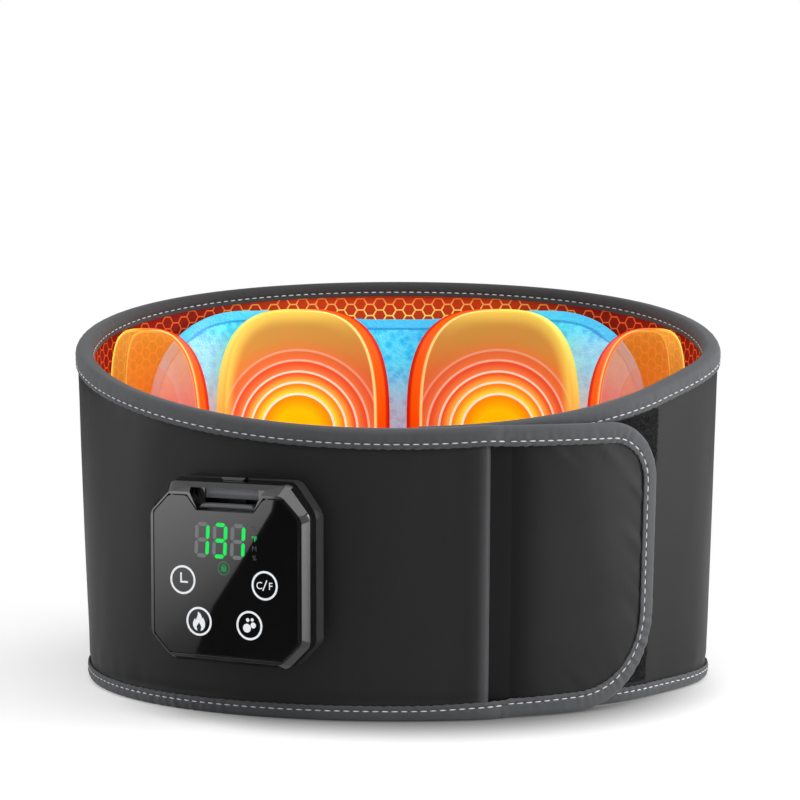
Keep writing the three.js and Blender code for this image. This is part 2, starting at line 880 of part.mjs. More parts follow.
function backHousing() {
  const shell = slab(body_outline, 0, pod_split);
  const cavity = slab(cavity_outline, pod_wall, pod_split + cut_overrun);
  const tongue_half = tongue_width / 2 + running_gap;
  const tongue_slot = podBox(
    -tongue_half, tongue_half, tongue_low - running_gap, tongue_high + running_gap,
    -cut_overrun, pod_wall + cut_overrun,
  );
  const pegs = [-1, 1].map((way) => podRod(
    (way * dock_peg_spacing) / 2, peg_up, dock_peg_diameter + 2 * running_gap,
    -cut_overrun, pod_wall + cut_overrun,
  ));
  const contact_hole = podBox(
    -contact_width / 2 - layer_gap, contact_width / 2 + layer_gap,
    contact_up - contact_height / 2 - layer_gap, contact_up + contact_height / 2 + layer_gap,
    -cut_overrun, pod_wall + cut_overrun,
  );
  const screws = screw_places.flatMap(({ across, up }) => [
    podRod(across, up, screw_head_diameter + 2 * layer_gap, -cut_overrun, screw_head_height),
    podRod(across, up, screw_diameter + 2 * layer_gap, -cut_overrun, pod_wall + cut_overrun),
  ]);
  return geometryFrom(carve(shell, cavity, tongue_slot, ...pegs, contact_hole, ...screws));
}

function pocketCutter() {
  const top = pocket_top_width / 2;
  const floor = pocket_floor_width / 2;
  const points = [[floor, pocket_sill], [top, pocket_ceiling], [-top, pocket_ceiling], [-floor, pocket_sill]];
  return slab(points, pocket_back, pod_depth + cut_overrun);
}

const bezel_back = pod_split + layer_gap;
const well_half = release_width / 2 + running_gap;

function frontBezel() {
  const skirt = slab(body_outline, bezel_back, bevel_start);
  const front = cutCornerPoints(bezel_front_width, bezel_front_height, pod_corner - pod_bevel / 2);
  const bevel = taper(body_outline, front, bevel_start, pod_depth);
  const cavity = slab(cavity_outline, bezel_back - cut_overrun, bevel_start);
  const recess = slab(recess_outline, glass_back - layer_gap, pod_depth + cut_overrun);
  const window = slab(window_outline, bevel_start - cut_overrun, pod_depth);
  const tray_half = pocket_top_width / 2 + pod_wall;
  const tray = podBox(
    -tray_half, tray_half, pocket_sill - pod_wall, pod_height / 2 - pod_wall / 2,
    bezel_back, bevel_start + layer_gap,
  );
  const bosses = screw_places.map(({ across, up }) => podRod(
    across, up, screw_boss_diameter, bezel_back, bevel_start + layer_gap,
  ));
  const holes = screw_places.map(({ across, up }) => podRod(
    across, up, screw_diameter + 2 * layer_gap,
    bezel_back - cut_overrun, screw_head_height + screw_length + layer_gap,
  ));
  const well = podBox(
    -well_half, well_half, release_low - release_travel - running_gap, pocket_ceiling,
    bezel_back - cut_overrun, pocket_back + layer_gap,
  );
  const leg_half = leg_width / 2 + running_gap;
  const leg_well = podBox(
    -leg_half, leg_half, pocket_sill - pod_wall - cut_overrun, release_low,
    bezel_back - cut_overrun, pocket_back - pod_wall / 2,
  );
  const socket_cut = podBox(
    -socket_width / 2 - layer_gap, socket_width / 2 + layer_gap,
    -pod_height / 2 - cut_overrun, -pod_height / 2 + pod_wall + cut_overrun,
    socket_low - layer_gap, socket_low + socket_height + layer_gap,
  );
  const hollow = carve(unite(skirt, bevel), cavity, recess, window);
  const filled = unite(hollow, tray, ...bosses);
  return geometryFrom(carve(filled, pocketCutter(), well, leg_well, socket_cut, ...holes));
}

// Release bar: a pressed bar across the pocket's back, and a leg whose lip stands under the tongue's hook

const release_high = pocket_ceiling - layer_gap;
const release_low = release_high - release_height;
const release_front = pocket_back;
const release_back = release_front - release_thickness;
const hook_from = pod_wall + catch_thickness + 2 * layer_gap;
const hook_low = release_low - catch_thickness;
const tongue_high = release_high - running_gap;
const tongue_low = hook_low;
const spring_low = hook_low - layer_gap - catch_thickness - release_height;

function releaseBar() {
  const grip_steps = 6;
  const section = [[release_high, release_back], [release_low, release_back]];
  for (let i = 0; i <= grip_steps; i += 1) {
    const share = i / grip_steps;
    const scoop = Math.sin(Math.PI * share) * (release_thickness / 2);
    section.push([release_low + release_height * share, release_front - scoop]);
  }
  const loops = [-release_width / 2, release_width / 2].map(
    (across) => section.map(([up, out]) => new THREE.Vector3(across, -out, up)),
  );
  const flat = section.map(([up, out]) => new THREE.Vector2(up, out));
  const bar = solidFrom(loft(loops, outlineFaces(flat)));
  const lip_top = hook_low - layer_gap;
  const neck = podBox(
    -leg_width / 2, leg_width / 2, lip_top - catch_thickness, release_low + catch_thickness,
    release_back, release_back + catch_thickness,
  );
  const leg = podBox(
    -leg_width / 2, leg_width / 2, lip_top - catch_thickness, lip_top,
    pod_wall + layer_gap, release_back + catch_thickness,
  );
  return geometryFrom(unite(bar, neck, leg));
}

// The return spring stands under the leg, on a shelf of the bezel's tray
class SpringCurve extends THREE.Curve {
  constructor(height) {
    super();
    this.height = height;
  }

  getPoint(share, target = new THREE.Vector3()) {
    const turn = full_turn * spring_turns * share;
    const radius = (spring_diameter - spring_wire) / 2;
    return target.set(radius * Math.cos(turn), radius * Math.sin(turn), this.height * share);
  }
}

function releaseSpring() {
  const spring_high = hook_low - 2 * layer_gap - catch_thickness;
  const height = spring_high - spring_low - spring_wire;
  const section = new THREE.Shape();
  section.absarc(0, 0, spring_wire / 2, 0, full_turn);
  const coil = new THREE.ExtrudeGeometry(section, {
    extrudePath: new SpringCurve(height), steps: 8 * spring_turns, curveSegments: 3, bevelEnabled: false,
  });
  coil.translate(0, -(pod_wall + 2 * layer_gap + spring_diameter / 2), spring_low + spring_wire / 2);
  return coil;
}

function glassPanel() {
  return geometryFrom(slab(glass_outline, glass_back, pod_depth));
}

const peg_up = -pod_height / 4;
const contact_up = ribbon_height - pod_centre_height;
const board_back = pod_wall + layer_gap + battery_thickness + layer_gap;
const board_front = board_back + board_thickness;
const socket_low = board_front + layer_gap;

function displayModule() {
  return geometryFrom(podBox(
    display_centre.across - display_width / 2, display_centre.across + display_width / 2,
    display_centre.up - display_height / 2, display_centre.up + display_height / 2,
    board_front + layer_gap, glass_back - layer_gap,
  ));
}

function controlBoard() {
  const width = pod_width - 2 * pod_wall - 2 * board_margin;
  const low = -pod_height / 2 + pod_wall + board_margin;
  const high = pocket_sill - pod_wall - board_margin - release_height;
  const outline = cutCornerPoints(width, high - low, pod_corner).map(
    ([across, up]) => [across, up + (high + low) / 2],
  );
  const board = slab(outline, board_back, board_front);
  const notches = screw_places.map(({ across: side, up }) => podRod(
    side, up, screw_boss_diameter + 2 * layer_gap, board_back - cut_overrun, board_front + cut_overrun,
  ));
  return geometryFrom(carve(board, ...notches));
}

function batteryCell() {
  const high = spring_low - layer_gap - pod_wall;
  return geometryFrom(podBox(
    -battery_width / 2, battery_width / 2, high - battery_height, high,
    pod_wall + layer_gap, pod_wall + layer_gap + battery_thickness,
  ));
}

function touchSpring({ across, up }) {
  const from = board_front + layer_gap;
  const to = glass_back - layer_gap;
  const outer = podRod(across, up, key_diameter, from, to);
  const bore = podRod(across, up, key_diameter - 2 * key_wall, from - cut_overrun, to + cut_overrun);
  return geometryFrom(carve(outer, bore));
}

function chargeSocket() {
  const half = socket_width / 2;
  const low = -pod_height / 2 + layer_gap;
  const shell = podBox(-half, half, low, low + socket_depth, socket_low, socket_low + socket_height);
  const mouth = podBox(
    -half + socket_wall, half - socket_wall, low - cut_overrun, low + socket_depth - 2 * socket_wall,
    socket_low + socket_wall, socket_low + socket_height - socket_wall,
  );
  return geometryFrom(carve(shell, mouth));
}

function contactBlock(from, to) {
  return geometryFrom(podBox(
    -contact_width / 2, contact_width / 2,
    contact_up - contact_height / 2, contact_up + contact_height / 2, from, to,
  ));
}

function housingScrew({ across, up }) {
  const head = podRod(across, up, screw_head_diameter, layer_gap, screw_head_height - layer_gap);
  const shank = podRod(across, up, screw_diameter, layer_gap, screw_head_height + screw_length);
  return geometryFrom(unite(head, shank));
}

// Dock: a saddle whose front is flat for the pod and whose back follows the belt

function podTransform() {
  const angle = angleAt(dock_lead);
  const normal = planNormal(angle);
  const back = planPoint(angle).addScaledVector(normal, pod_stand_off);
  const facing = Math.atan2(normal.x, -normal.y) - THREE.MathUtils.degToRad(pod_turn);
  const turn = new THREE.Matrix4().makeRotationZ(facing);
  const move = new THREE.Matrix4().makeTranslation(back.x, back.y, pod_centre_height);
  return move.multiply(turn);
}

function dockSaddle() {
  const depth = belt_half_depth / 2;
  const low = -dock_height / 2;
  const high = dock_height / 2;
  const block = slab(cutCornerPoints(dock_width, dock_height, dock_corner), -depth, -layer_gap);
  const into_pod = podTransform().invert();
  const reach = dock_width + belt_step;
  const belt_skin = sweepWall(
    strip_stations.filter((along) => Math.abs(along - dock_lead) < reach),
    () => boxSection(
      -belt_half_depth / 2, layer_gap,
      pod_centre_height + low - cut_overrun, pod_centre_height + tongue_high + cut_overrun,
    ),
  ).applyMatrix4(into_pod);
  const contact_pocket = podBox(
    -contact_width / 2 - layer_gap, contact_width / 2 + layer_gap,
    contact_up - contact_height / 2 - layer_gap, contact_up + contact_height / 2 + layer_gap,
    -depth - cut_overrun, cut_overrun,
  );
  const pegs = [-1, 1].map((way) => podRod(
    (way * dock_peg_spacing) / 2, peg_up, dock_peg_diameter, -catch_thickness, dock_peg_height,
  ));
  const hook_front = hook_from + catch_thickness;
  const stem = podBox(
    -tongue_width / 2, tongue_width / 2, tongue_high - tongue_thickness, tongue_high,
    -catch_thickness, hook_front,
  );
  const hook = podBox(-tongue_width / 2, tongue_width / 2, hook_low, tongue_high, hook_from, hook_front);
  const root = podBox(
    -tongue_width / 2 - tongue_thickness, tongue_width / 2 + tongue_thickness,
    high - tongue_thickness, tongue_high, -tongue_thickness - layer_gap, -layer_gap,
  );
  const whole = unite(block, root, stem, hook, ...pegs);
  return geometryFrom(carve(whole, solidFrom(belt_skin), contact_pocket));
}

// Assembly

const machine = new THREE.Group();

machine.add(named('outer_cover', outerCover(dock_lead), neoprene));
machine.add(named('core_foam_upper', coreFoam(true), foam));
machine.add(named('core_foam_lower', coreFoam(false), foam));
machine.add(named('inner_lining', innerLining(lead_places), lining_cloth));
machine.add(named('top_binding', rimBinding(), binding_cloth));
machine.add(named('bottom_binding', footBinding(), binding_cloth));
machine.add(named('tail_end_binding', tailEndBinding(), binding_cloth));
machine.add(named('seam_roll', seamRoll(), neoprene));
machine.add(named('loop_strip', loopStrip(), fastener_cloth));
machine.add(named('flap_panel', flapPanel(), neoprene));
machine.add(named('flap_binding', flapBinding(), binding_cloth));
machine.add(named('hook_patch', hookPatch(), fastener_cloth));
machine.add(named('cold_pack', coldPack(), gel));
for (const { label, pad, side } of pad_places) {
  machine.add(...padParts(label, pad, side));
}
machine.add(named('harness_ribbon', harnessRibbon(), film_copper));

const docked = new THREE.Group();
docked.applyMatrix4(podTransform());
docked.add(named('dock_saddle', dockSaddle(), dock_plastic));
docked.add(named('dock_contacts', contactBlock(-contact_depth, -layer_gap), gold));
docked.add(named('back_housing', backHousing(), pod_plastic));
docked.add(named('front_bezel', frontBezel(), pod_plastic));
docked.add(named('glass_panel', glassPanel(), panel_glass));
docked.add(named('display_module', displayModule(), board_green));
docked.add(named('control_board', controlBoard(), board_green));
docked.add(named('battery_cell', batteryCell(), cell_foil));
docked.add(named('charge_socket', chargeSocket(), steel));
docked.add(named('pod_contacts', contactBlock(0, pod_wall), gold));
docked.add(named('release_bar', releaseBar(), pod_plastic));
docked.add(named('release_spring', releaseSpring(), steel));
key_places.forEach((key, i) => {
  docked.add(named(`touch_spring_${i + 1}`, touchSpring(key), steel));
});
screw_places.forEach((screw, i) => {
  docked.add(named(`housing_screw_${i + 1}`, housingScrew(screw), steel));
});
machine.add(docked);

// The origin is the centre of the footprint, on the floor
machine.updateMatrixWorld(true);
const bounds = new THREE.Box3().setFromObject(machine, true);
const centre = bounds.getCenter(new THREE.Vector3());
machine.position.set(-centre.x, -centre.y, -bounds.min.z);

export default machine;
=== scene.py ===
# %% [markdown]
# A hot and cold therapy waist belt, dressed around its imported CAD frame.
# The belt is a padded strip bent into a ring. It is black neoprene outside and a red lining inside, and it is edged
# with grey tape. Four soft heat pads and a blue gel pack line its back, and a gloss black control pod sits at its
# front left. Everything here is in metres, in the same frame as the CAD, so each piece goes where the CAD says.

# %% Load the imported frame
import math
import bmesh
import bpy
import numpy as np
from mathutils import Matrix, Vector
from mathutils.geometry import tessellate_polygon


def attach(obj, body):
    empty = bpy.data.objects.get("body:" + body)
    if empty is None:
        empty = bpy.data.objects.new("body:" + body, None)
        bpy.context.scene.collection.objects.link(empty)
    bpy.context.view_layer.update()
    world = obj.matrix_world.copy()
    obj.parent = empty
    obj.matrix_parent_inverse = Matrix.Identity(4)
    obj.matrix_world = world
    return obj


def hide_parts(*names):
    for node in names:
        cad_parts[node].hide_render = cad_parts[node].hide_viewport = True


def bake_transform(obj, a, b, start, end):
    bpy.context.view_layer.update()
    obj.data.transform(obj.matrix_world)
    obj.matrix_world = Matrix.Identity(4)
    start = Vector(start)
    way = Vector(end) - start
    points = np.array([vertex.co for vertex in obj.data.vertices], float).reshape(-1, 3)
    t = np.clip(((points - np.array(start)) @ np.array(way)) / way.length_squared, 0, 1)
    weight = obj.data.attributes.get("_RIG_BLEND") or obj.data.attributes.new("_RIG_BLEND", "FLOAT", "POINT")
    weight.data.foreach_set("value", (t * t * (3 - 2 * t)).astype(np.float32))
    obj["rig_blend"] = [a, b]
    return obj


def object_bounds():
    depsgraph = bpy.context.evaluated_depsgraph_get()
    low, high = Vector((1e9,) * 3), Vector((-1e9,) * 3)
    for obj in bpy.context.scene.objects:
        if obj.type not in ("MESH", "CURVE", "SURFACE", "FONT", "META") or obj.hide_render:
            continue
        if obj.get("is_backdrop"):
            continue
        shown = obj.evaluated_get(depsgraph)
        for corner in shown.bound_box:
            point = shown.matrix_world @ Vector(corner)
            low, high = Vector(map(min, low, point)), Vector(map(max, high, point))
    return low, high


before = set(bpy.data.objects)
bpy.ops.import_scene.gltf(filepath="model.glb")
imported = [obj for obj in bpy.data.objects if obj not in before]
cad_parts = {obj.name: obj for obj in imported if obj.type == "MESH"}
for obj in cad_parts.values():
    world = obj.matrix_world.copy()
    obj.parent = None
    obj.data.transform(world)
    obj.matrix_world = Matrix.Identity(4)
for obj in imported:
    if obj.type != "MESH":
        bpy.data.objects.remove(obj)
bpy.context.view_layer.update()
MM = 0.001

# %% [markdown]
# The camera stands a metre in front of the belt and a little above its rim, and looks slightly down. A long lens
# could be guessed by eye, but fitting the rim and the foot of the belt to the photograph gives it at once, and then
# every other piece can be judged by where it lands in the picture.

# %% Camera
EYE = Vector((0.0, -0.989, 0.2016))
EYE_PITCH = math.radians(-3.54)


def show(name, data):
    """A new object of that data, in the scene."""
    obj = bpy.data.objects.new(name, data)
    bpy.context.scene.collection.objects.link(obj)
    return obj


camera_data = bpy.data.cameras.new("camera")
camera_data.sensor_width, camera_data.lens, camera_data.shift_x = 36, 87.9, 0.0025
camera = show("camera", camera_data)
camera.location = EYE
camera.rotation_euler = (math.pi / 2 + EYE_PITCH, 0, 0)
bpy.context.scene.camera = camera
bpy.context.scene.view_settings.view_transform = "Standard"

# %% [markdown]
# The belt's wall follows one flattened oval. A piece of the wall is easiest to draw as it lies on the cutting table:
# how far along the strip, how far outwards, and how high. One function then bends any such point round the waist,
# so covers, tapes, pads and stitches all share the same curve, which is also the CAD's.

# %% The waist curve and the bend
HALF_WIDTH, HALF_DEPTH, OVAL_POWER = 157 * MM, 117.5 * MM, 2.07
WALL_LEAN, PLUMB_HEIGHT = 0.03, 46.5 * MM
FRAME_SHIFT = np.array([0.0696, 8.9577]) * MM
CURVE_SAMPLES = 720
TAIL_INSET, TAIL_FULL_TO, TAIL_FADE = 9.2 * MM, 142 * MM, 63 * MM


def powered(value, power):
    return np.sign(value) * np.abs(value) ** power


def plan_point(turn):
    power = 2 / OVAL_POWER
    return np.stack([HALF_WIDTH * powered(np.cos(turn), power), HALF_DEPTH * powered(np.sin(turn), power)], -1)


def plan_normal(turn):
    power = 2 - 2 / OVAL_POWER
    normal = np.stack([powered(np.cos(turn), power) / HALF_WIDTH, powered(np.sin(turn), power) / HALF_DEPTH], -1)
    return normal / np.linalg.norm(normal, axis=-1, keepdims=True)


curve_turns = -math.pi / 2 + np.arange(CURVE_SAMPLES + 1) / CURVE_SAMPLES * 2 * math.pi
curve_steps = np.linalg.norm(np.diff(plan_point(curve_turns), axis=0), axis=1)
curve_lengths = np.concatenate([[0], np.cumsum(curve_steps)])
PLAN_LENGTH = float(curve_lengths[-1])
SPINE = PLAN_LENGTH / 2
SEAM = PLAN_LENGTH + 49 * MM
print("waist", round(PLAN_LENGTH, 4), "m")


def ease(value, start, length):
    """Rises smoothly from 0 at start to 1 after that length."""
    share = np.clip((value - start) / length, 0, 1)
    return share * share * (3 - 2 * share)


def bell(value, middle, width):
    return np.exp(-((value - middle) / width) ** 2)


def ripple(value, length, seed, shake=1.0):
    """A smooth uneven wave of about that wavelength, between about -1 and 1, the same each run."""
    total = 0
    for i, (stretch, weight) in enumerate([(1.0, 0.5), (0.617, 0.3), (1.73, 0.35), (0.371, 0.15 * shake)]):
        total = total + weight * np.sin(value / (length * stretch) * 2 * math.pi + seed * (1.7 + i * 2.3))
    return total


def turn_at(along):
    return np.interp(np.mod(along, PLAN_LENGTH), curve_lengths, curve_turns)


def bend(along, out, up, plumb=False):
    """Points of the wall, from their place on the flat strip."""
    along, out, up = np.broadcast_arrays(*(np.asarray(v, float) for v in (along, out, up)))
    tail_inset = TAIL_INSET * (1 - ease(along, TAIL_FULL_TO, TAIL_FADE))
    reach = out + WALL_LEAN * (PLUMB_HEIGHT if plumb else up) - tail_inset
    flat = plan_point(turn_at(along)) + plan_normal(turn_at(along)) * reach[..., None] + FRAME_SHIFT
    return np.concatenate([flat, up[..., None]], -1)


def facing(along):
    """The outward direction of the wall."""
    flat = plan_normal(turn_at(np.asarray(along, float)))
    return np.concatenate([flat, np.zeros(flat.shape[:-1] + (1,))], -1)


def rim_height(along):
    turn = turn_at(along)
    return (169.6 + 32.8 * np.sin(turn) + 2.35 * np.cos(2 * turn)) * MM


# %% [markdown]
# Meshes made by rule need a few small helpers: one makes an object from points and faces, one joins a row of equal
# loops into a closed tube, and one closes two sheets of points into a thin slab. A layer of the wall is such a slab,
# whose edges and faces are each a number or a rule. The last helper hangs each finished piece on the body that
# carries it and hides the CAD nodes it stands for.

# %% Mesh helpers
def piece(name, points, faces, finish=None, smooth_to=40):
    mesh = bpy.data.meshes.new(name)
    mesh.from_pydata(np.asarray(points).reshape(-1, 3).tolist(), [], faces)
    mesh.validate()
    made = bmesh.new()
    made.from_mesh(mesh)
    bmesh.ops.recalc_face_normals(made, faces=made.faces)
    made.to_mesh(mesh)
    made.free()
    mesh.shade_smooth()
    mesh.set_sharp_from_angle(angle=math.radians(smooth_to))
    if finish:
        mesh.materials.append(finish)
    return show(name, mesh)


def mark(obj, name, values, kind="FLOAT"):
    """Store a value at each point, for the finishes and Geometry Nodes to read."""
    stored = obj.data.attributes.new(name, kind, "POINT")
    stored.data.foreach_set("value" if kind == "FLOAT" else "vector", np.asarray(values, np.float32).ravel())


def tube_faces(loops, count, closed=False):
    """Faces between equal loops of count points. A closed tube joins its last loop to its first, others get caps."""
    faces = []
    for i in range(loops if closed else loops - 1):
        ahead = count if i + 1 < loops else -i * count
        for j in range(count):
            a, b = i * count + j, i * count + (j + 1) % count
            faces.append((a, b, b + ahead, a + ahead))
    if not closed:
        faces += [tuple(range(count))[::-1], tuple(range((loops - 1) * count, loops * count))]
    return faces


def slab_faces(rows, columns):
    """Faces of a closed slab whose points are an outer grid and then an inner grid."""
    def at(sheet, r, c):
        return (sheet * rows + r) * columns + c

    faces = []
    for r in range(rows - 1):
        for c in range(columns - 1):
            faces.append((at(0, r, c), at(0, r, c + 1), at(0, r + 1, c + 1), at(0, r + 1, c)))
            faces.append((at(1, r, c), at(1, r + 1, c), at(1, r + 1, c + 1), at(1, r, c + 1)))
        for c in (0, columns - 1):
            faces.append((at(0, r, c), at(0, r + 1, c), at(1, r + 1, c), at(1, r, c)))
    for c in range(columns - 1):
        for r in (0, rows - 1):
            faces.append((at(0, r, c), at(1, r, c), at(1, r, c + 1), at(0, r, c + 1)))
    return faces


def rule_at(rule, *place):
    return rule(*place) if callable(rule) else np.full_like(place[-1], rule)


def under_rim(gap):
    return lambda along: rim_height(along) - gap


def sheet_grid(alongs, low, high, shares):
    """(along, up) of a sheet's points, from its low edge to its high edge at each place."""
    low, high = (rule_at(rule, alongs)[:, None] for rule in (low, high))
    return np.repeat(alongs[:, None], len(shares), 1), low * (1 - shares) + high * shares


def wall_slab(name, alongs, low, high, rows, outer, inner, finish):
    grid, ups = sheet_grid(alongs, low, high, np.linspace(0, 1, rows))
    points = [bend(grid, rule_at(rule, grid, ups), ups) for rule in (outer, inner)]
    return piece(name, points, slab_faces(len(alongs), rows), finish)


def stations(start, end, step):
    return np.linspace(start, end, max(2, math.ceil((end - start) / step) + 1))


def wear(obj, body, slot, *nodes):
    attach(obj, body)
    if nodes:
        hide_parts(*nodes)
    return obj


# %% [markdown]
# A finish is one Principled shader and the textures that feed it. Cloth, rubber and plastic differ in how rough they
# are and in the small grain that breaks up their highlights, so each finish below gets its own grain and its own
# slight change of colour. The patterns read object coordinates in metres: a scale of 1000 gives a grain of about 1 mm.
# Colours are written from 0 to 255, as a picture shows them.

# %% Node and finish helpers
def srgb(*colour):
    return tuple(((v / 255 + 0.055) / 1.055) ** 2.4 if v > 10 else v / 255 / 12.92 for v in colour)


class Nodes:
    """Adds nodes to a tree. Inputs go by name, or by number as _0, and take a value, a socket or a node."""
    def __init__(self, tree):
        self.tree = tree

    def feed(self, node, sockets):
        for key, value in sockets.items():
            socket = node.inputs[int(key[1:]) if key[0] == "_" else key.replace("_", " ")]
            if isinstance(value, bpy.types.Node):
                value = value.outputs[0]
            if isinstance(value, bpy.types.NodeSocket):
                self.tree.links.new(value, socket)
            elif socket.type == "RGBA" and len(value) == 3:
                socket.default_value = (*value, 1)
            else:
                socket.default_value = value

    def node(self, kind, settings=None, **sockets):
        made = self.tree.nodes.new(kind)
        for key, value in (settings or {}).items():
            setattr(made, key, value)
        self.feed(made, sockets)
        return made

    def math(self, operation, a, b=0.0):
        return self.node("ShaderNodeMath", {"operation": operation}, _0=a, _1=b)

    def span(self, value, low, high, to_low=0.0, to_high=1.0):
        return self.node("ShaderNodeMapRange", {"interpolation_type": "SMOOTHSTEP"}, _0=value, _1=low, _2=high,
                         _3=to_low, _4=to_high)


class Finish(Nodes):
    def __init__(self, name, **sockets):
        self.material = bpy.data.materials.new(name)
        self.material.use_nodes = True
        super().__init__(self.material.node_tree)
        self.shader = self.tree.nodes["Principled BSDF"]
        self.feed(self.shader, sockets)
        self.place = self.node("ShaderNodeTexCoord").outputs["Object"]

    def noise(self, scale, detail=3.0, vector=None):
        return self.node("ShaderNodeTexNoise", Vector=vector or self.place, Scale=scale, Detail=detail)

    def cells(self, scale):
        return self.node("ShaderNodeTexVoronoi", Vector=self.place, Scale=scale)

    def wave(self, bands, scale, distortion=0.0, detail=2.0):
        return self.node("ShaderNodeTexWave", {"bands_direction": bands}, Vector=self.place, Scale=scale,
                         Distortion=distortion, Detail=detail).outputs[1]

    def scaled(self, *scale):
        return self.node("ShaderNodeMapping", Vector=self.place, Scale=scale)

    def axis(self, name):
        return self.node("ShaderNodeSeparateXYZ", Vector=self.place).outputs[name]

    def aside(self):
        return self.math("ABSOLUTE", self.axis("X"))

    def attribute(self, name, output="Fac"):
        return self.node("ShaderNodeAttribute", {"attribute_name": name}).outputs[output]

    def times(self, a, b):
        return self.math("MULTIPLY", a, b)

    def plus(self, a, b):
        return self.math("ADD", a, b)

    def mix(self, share, a, b):
        a, b = (srgb(*v) if isinstance(v, tuple) else v for v in (a, b))
        return self.node("ShaderNodeMix", {"data_type": "RGBA"}, _0=share, _6=a, _7=b).outputs[2]

    def ramp(self, value, stops):
        made = self.node("ShaderNodeValToRGB", Fac=value)
        line = made.color_ramp
        while len(line.elements) < len(stops):
            line.elements.new(0.5)
        for element, (at, colour) in zip(line.elements, stops):
            element.position = at
            element.color = (*srgb(*colour), 1)
        return made

    def close(self, colour, rough, grain, depth, strength, glowing=False):
        """Feed the shader its colour, roughness and grain, and hand over the material."""
        bump = self.node("ShaderNodeBump", Height=grain, Distance=depth, Strength=strength)
        self.feed(self.shader, {"Base Color": colour, "Roughness": rough, "Normal": bump})
        if glowing:
            self.feed(self.shader, {"Emission Color": colour})
        return self.material


# %% [markdown]
# Neoprene is a foam rubber with a fine knit bonded to its face. From a step away it is an even charcoal that turns
# paler at a grazing angle, which is what the sheen is for, and from close by it shows a fine speckle. Over the rolled
# seam its colour is painted paler, a painted highlight, and in the fold beside the seam and on the flap by its hinge
# it is painted darker, a painted shade. The edge tape is a smoother woven cloth in a paler grey, with threads that
# run along and across it. At the belt's back, where the picture has less light, the tape is drawn darker.

# %% Cloth finishes
def make_neoprene():
    look = Finish("neoprene", Sheen_Weight=0.05, Sheen_Roughness=0.4, Specular_IOR_Level=0.12)
    speckle = look.noise(2400, 2)
    cloth = look.mix(look.noise(14, 2), look.mix(speckle, (32, 32, 33), (40, 40, 41)),
                     look.mix(speckle, (36, 36, 37), (44, 44, 45)))
    # The stretch attribute carries painted light: above zero a painted highlight on the rolled seam, below zero a
    # painted shade by the seam and the hinge.
    stretch = look.attribute("stretch")
    cloth = look.mix(look.span(stretch, 0, 1), cloth, (74, 74, 76))
    cloth = look.mix(look.span(stretch, 0, -1), cloth, (12, 12, 13))
    return look.close(cloth, look.span(speckle, 0.3, 0.7, 0.4, 0.5),
                      look.plus(look.times(speckle, 0.5), look.cells(1500)), 0.00005, 0.35)


def make_tape():
    look = Finish("edge_tape", Sheen_Weight=0.12, Sheen_Roughness=0.5, Specular_IOR_Level=0.2)
    weave = look.times(look.wave("Z", 900, 1.2, 1.0), look.wave("DIAGONAL", 760, 1.5, 1.0))
    wear_marks = look.noise(60, 4)
    cloth = look.mix(wear_marks, look.mix(weave, (70, 71, 73), (84, 85, 88)),
                     look.mix(weave, (78, 79, 82), (92, 93, 96)))
    cloth = look.mix(look.span(look.axis("Y"), 0.02, 0.11, 0, 0.75), cloth, (44, 44, 46))
    return look.close(cloth, look.span(weave, 0, 1, 0.72, 0.6), look.plus(weave, look.times(wear_marks, 0.6)),
                      0.00005, 0.5)


def make_thread():
    look = Finish("sewing_thread", Sheen_Weight=0.3, Specular_IOR_Level=0.3)
    twist = look.wave("DIAGONAL", 1400, 0.6)
    return look.close(look.mix(twist, (198, 199, 202), (238, 239, 242)), look.span(twist, 0, 1, 0.75, 0.6),
                      twist, 0.00004, 0.5)


def make_pile(name, dark, pale):
    look = Finish(name, Sheen_Weight=0.08, Sheen_Roughness=0.6, Specular_IOR_Level=0.12)
    tuft = look.noise(1300, 3)
    return look.close(look.mix(look.span(tuft, 0.52, 0.76), dark, pale), look.span(tuft, 0, 1, 0.95, 0.8),
                      tuft, 0.0002, 0.8)


def make_foam():
    look = Finish("core_foam", Specular_IOR_Level=0.2)
    pores = look.cells(900)
    return look.close(look.mix(pores, (120, 120, 112), (150, 150, 142)), look.span(pores, 0, 0.7, 0.95, 0.85),
                      pores, 0.0002, 0.8)


neoprene, tape, thread, foam = make_neoprene(), make_tape(), make_thread(), make_foam()
loop_pile = make_pile("loop_pile", (3, 3, 4), (52, 52, 55))
hook_plastic = make_pile("hook_plastic", (16, 16, 17), (30, 30, 32))

# %% [markdown]
# The outer cover is one long sheet of neoprene. A flat extrusion of the oval would look like sheet metal. The real
# cloth is sewn down at its two edges, so it swells slightly between the tapes, pulls in at the stitches, and rolls
# in long shallow waves. The cover starts behind the flap as the tail. At the seam it rolls over the end of the foam,
# which leaves a soft upright edge that swells a little beside it. The picture shows that edge a few millimetres
# before the place where the flap is hinged.

# %% Outer cover
COVER = 1.5 * MM
STRIP_START, STRIP_END = 11.3 * MM, SEAM - 4.7 * MM
STRIP_STEP = 3.2 * MM
COVER_EDGE, COVER_ROWS = 2.3 * MM, 64
DOCK_ALONG = PLAN_LENGTH - 70.07 * MM
ROLL_RADIUS, ROLL_END = 3 * MM, SEAM - 7.0 * MM


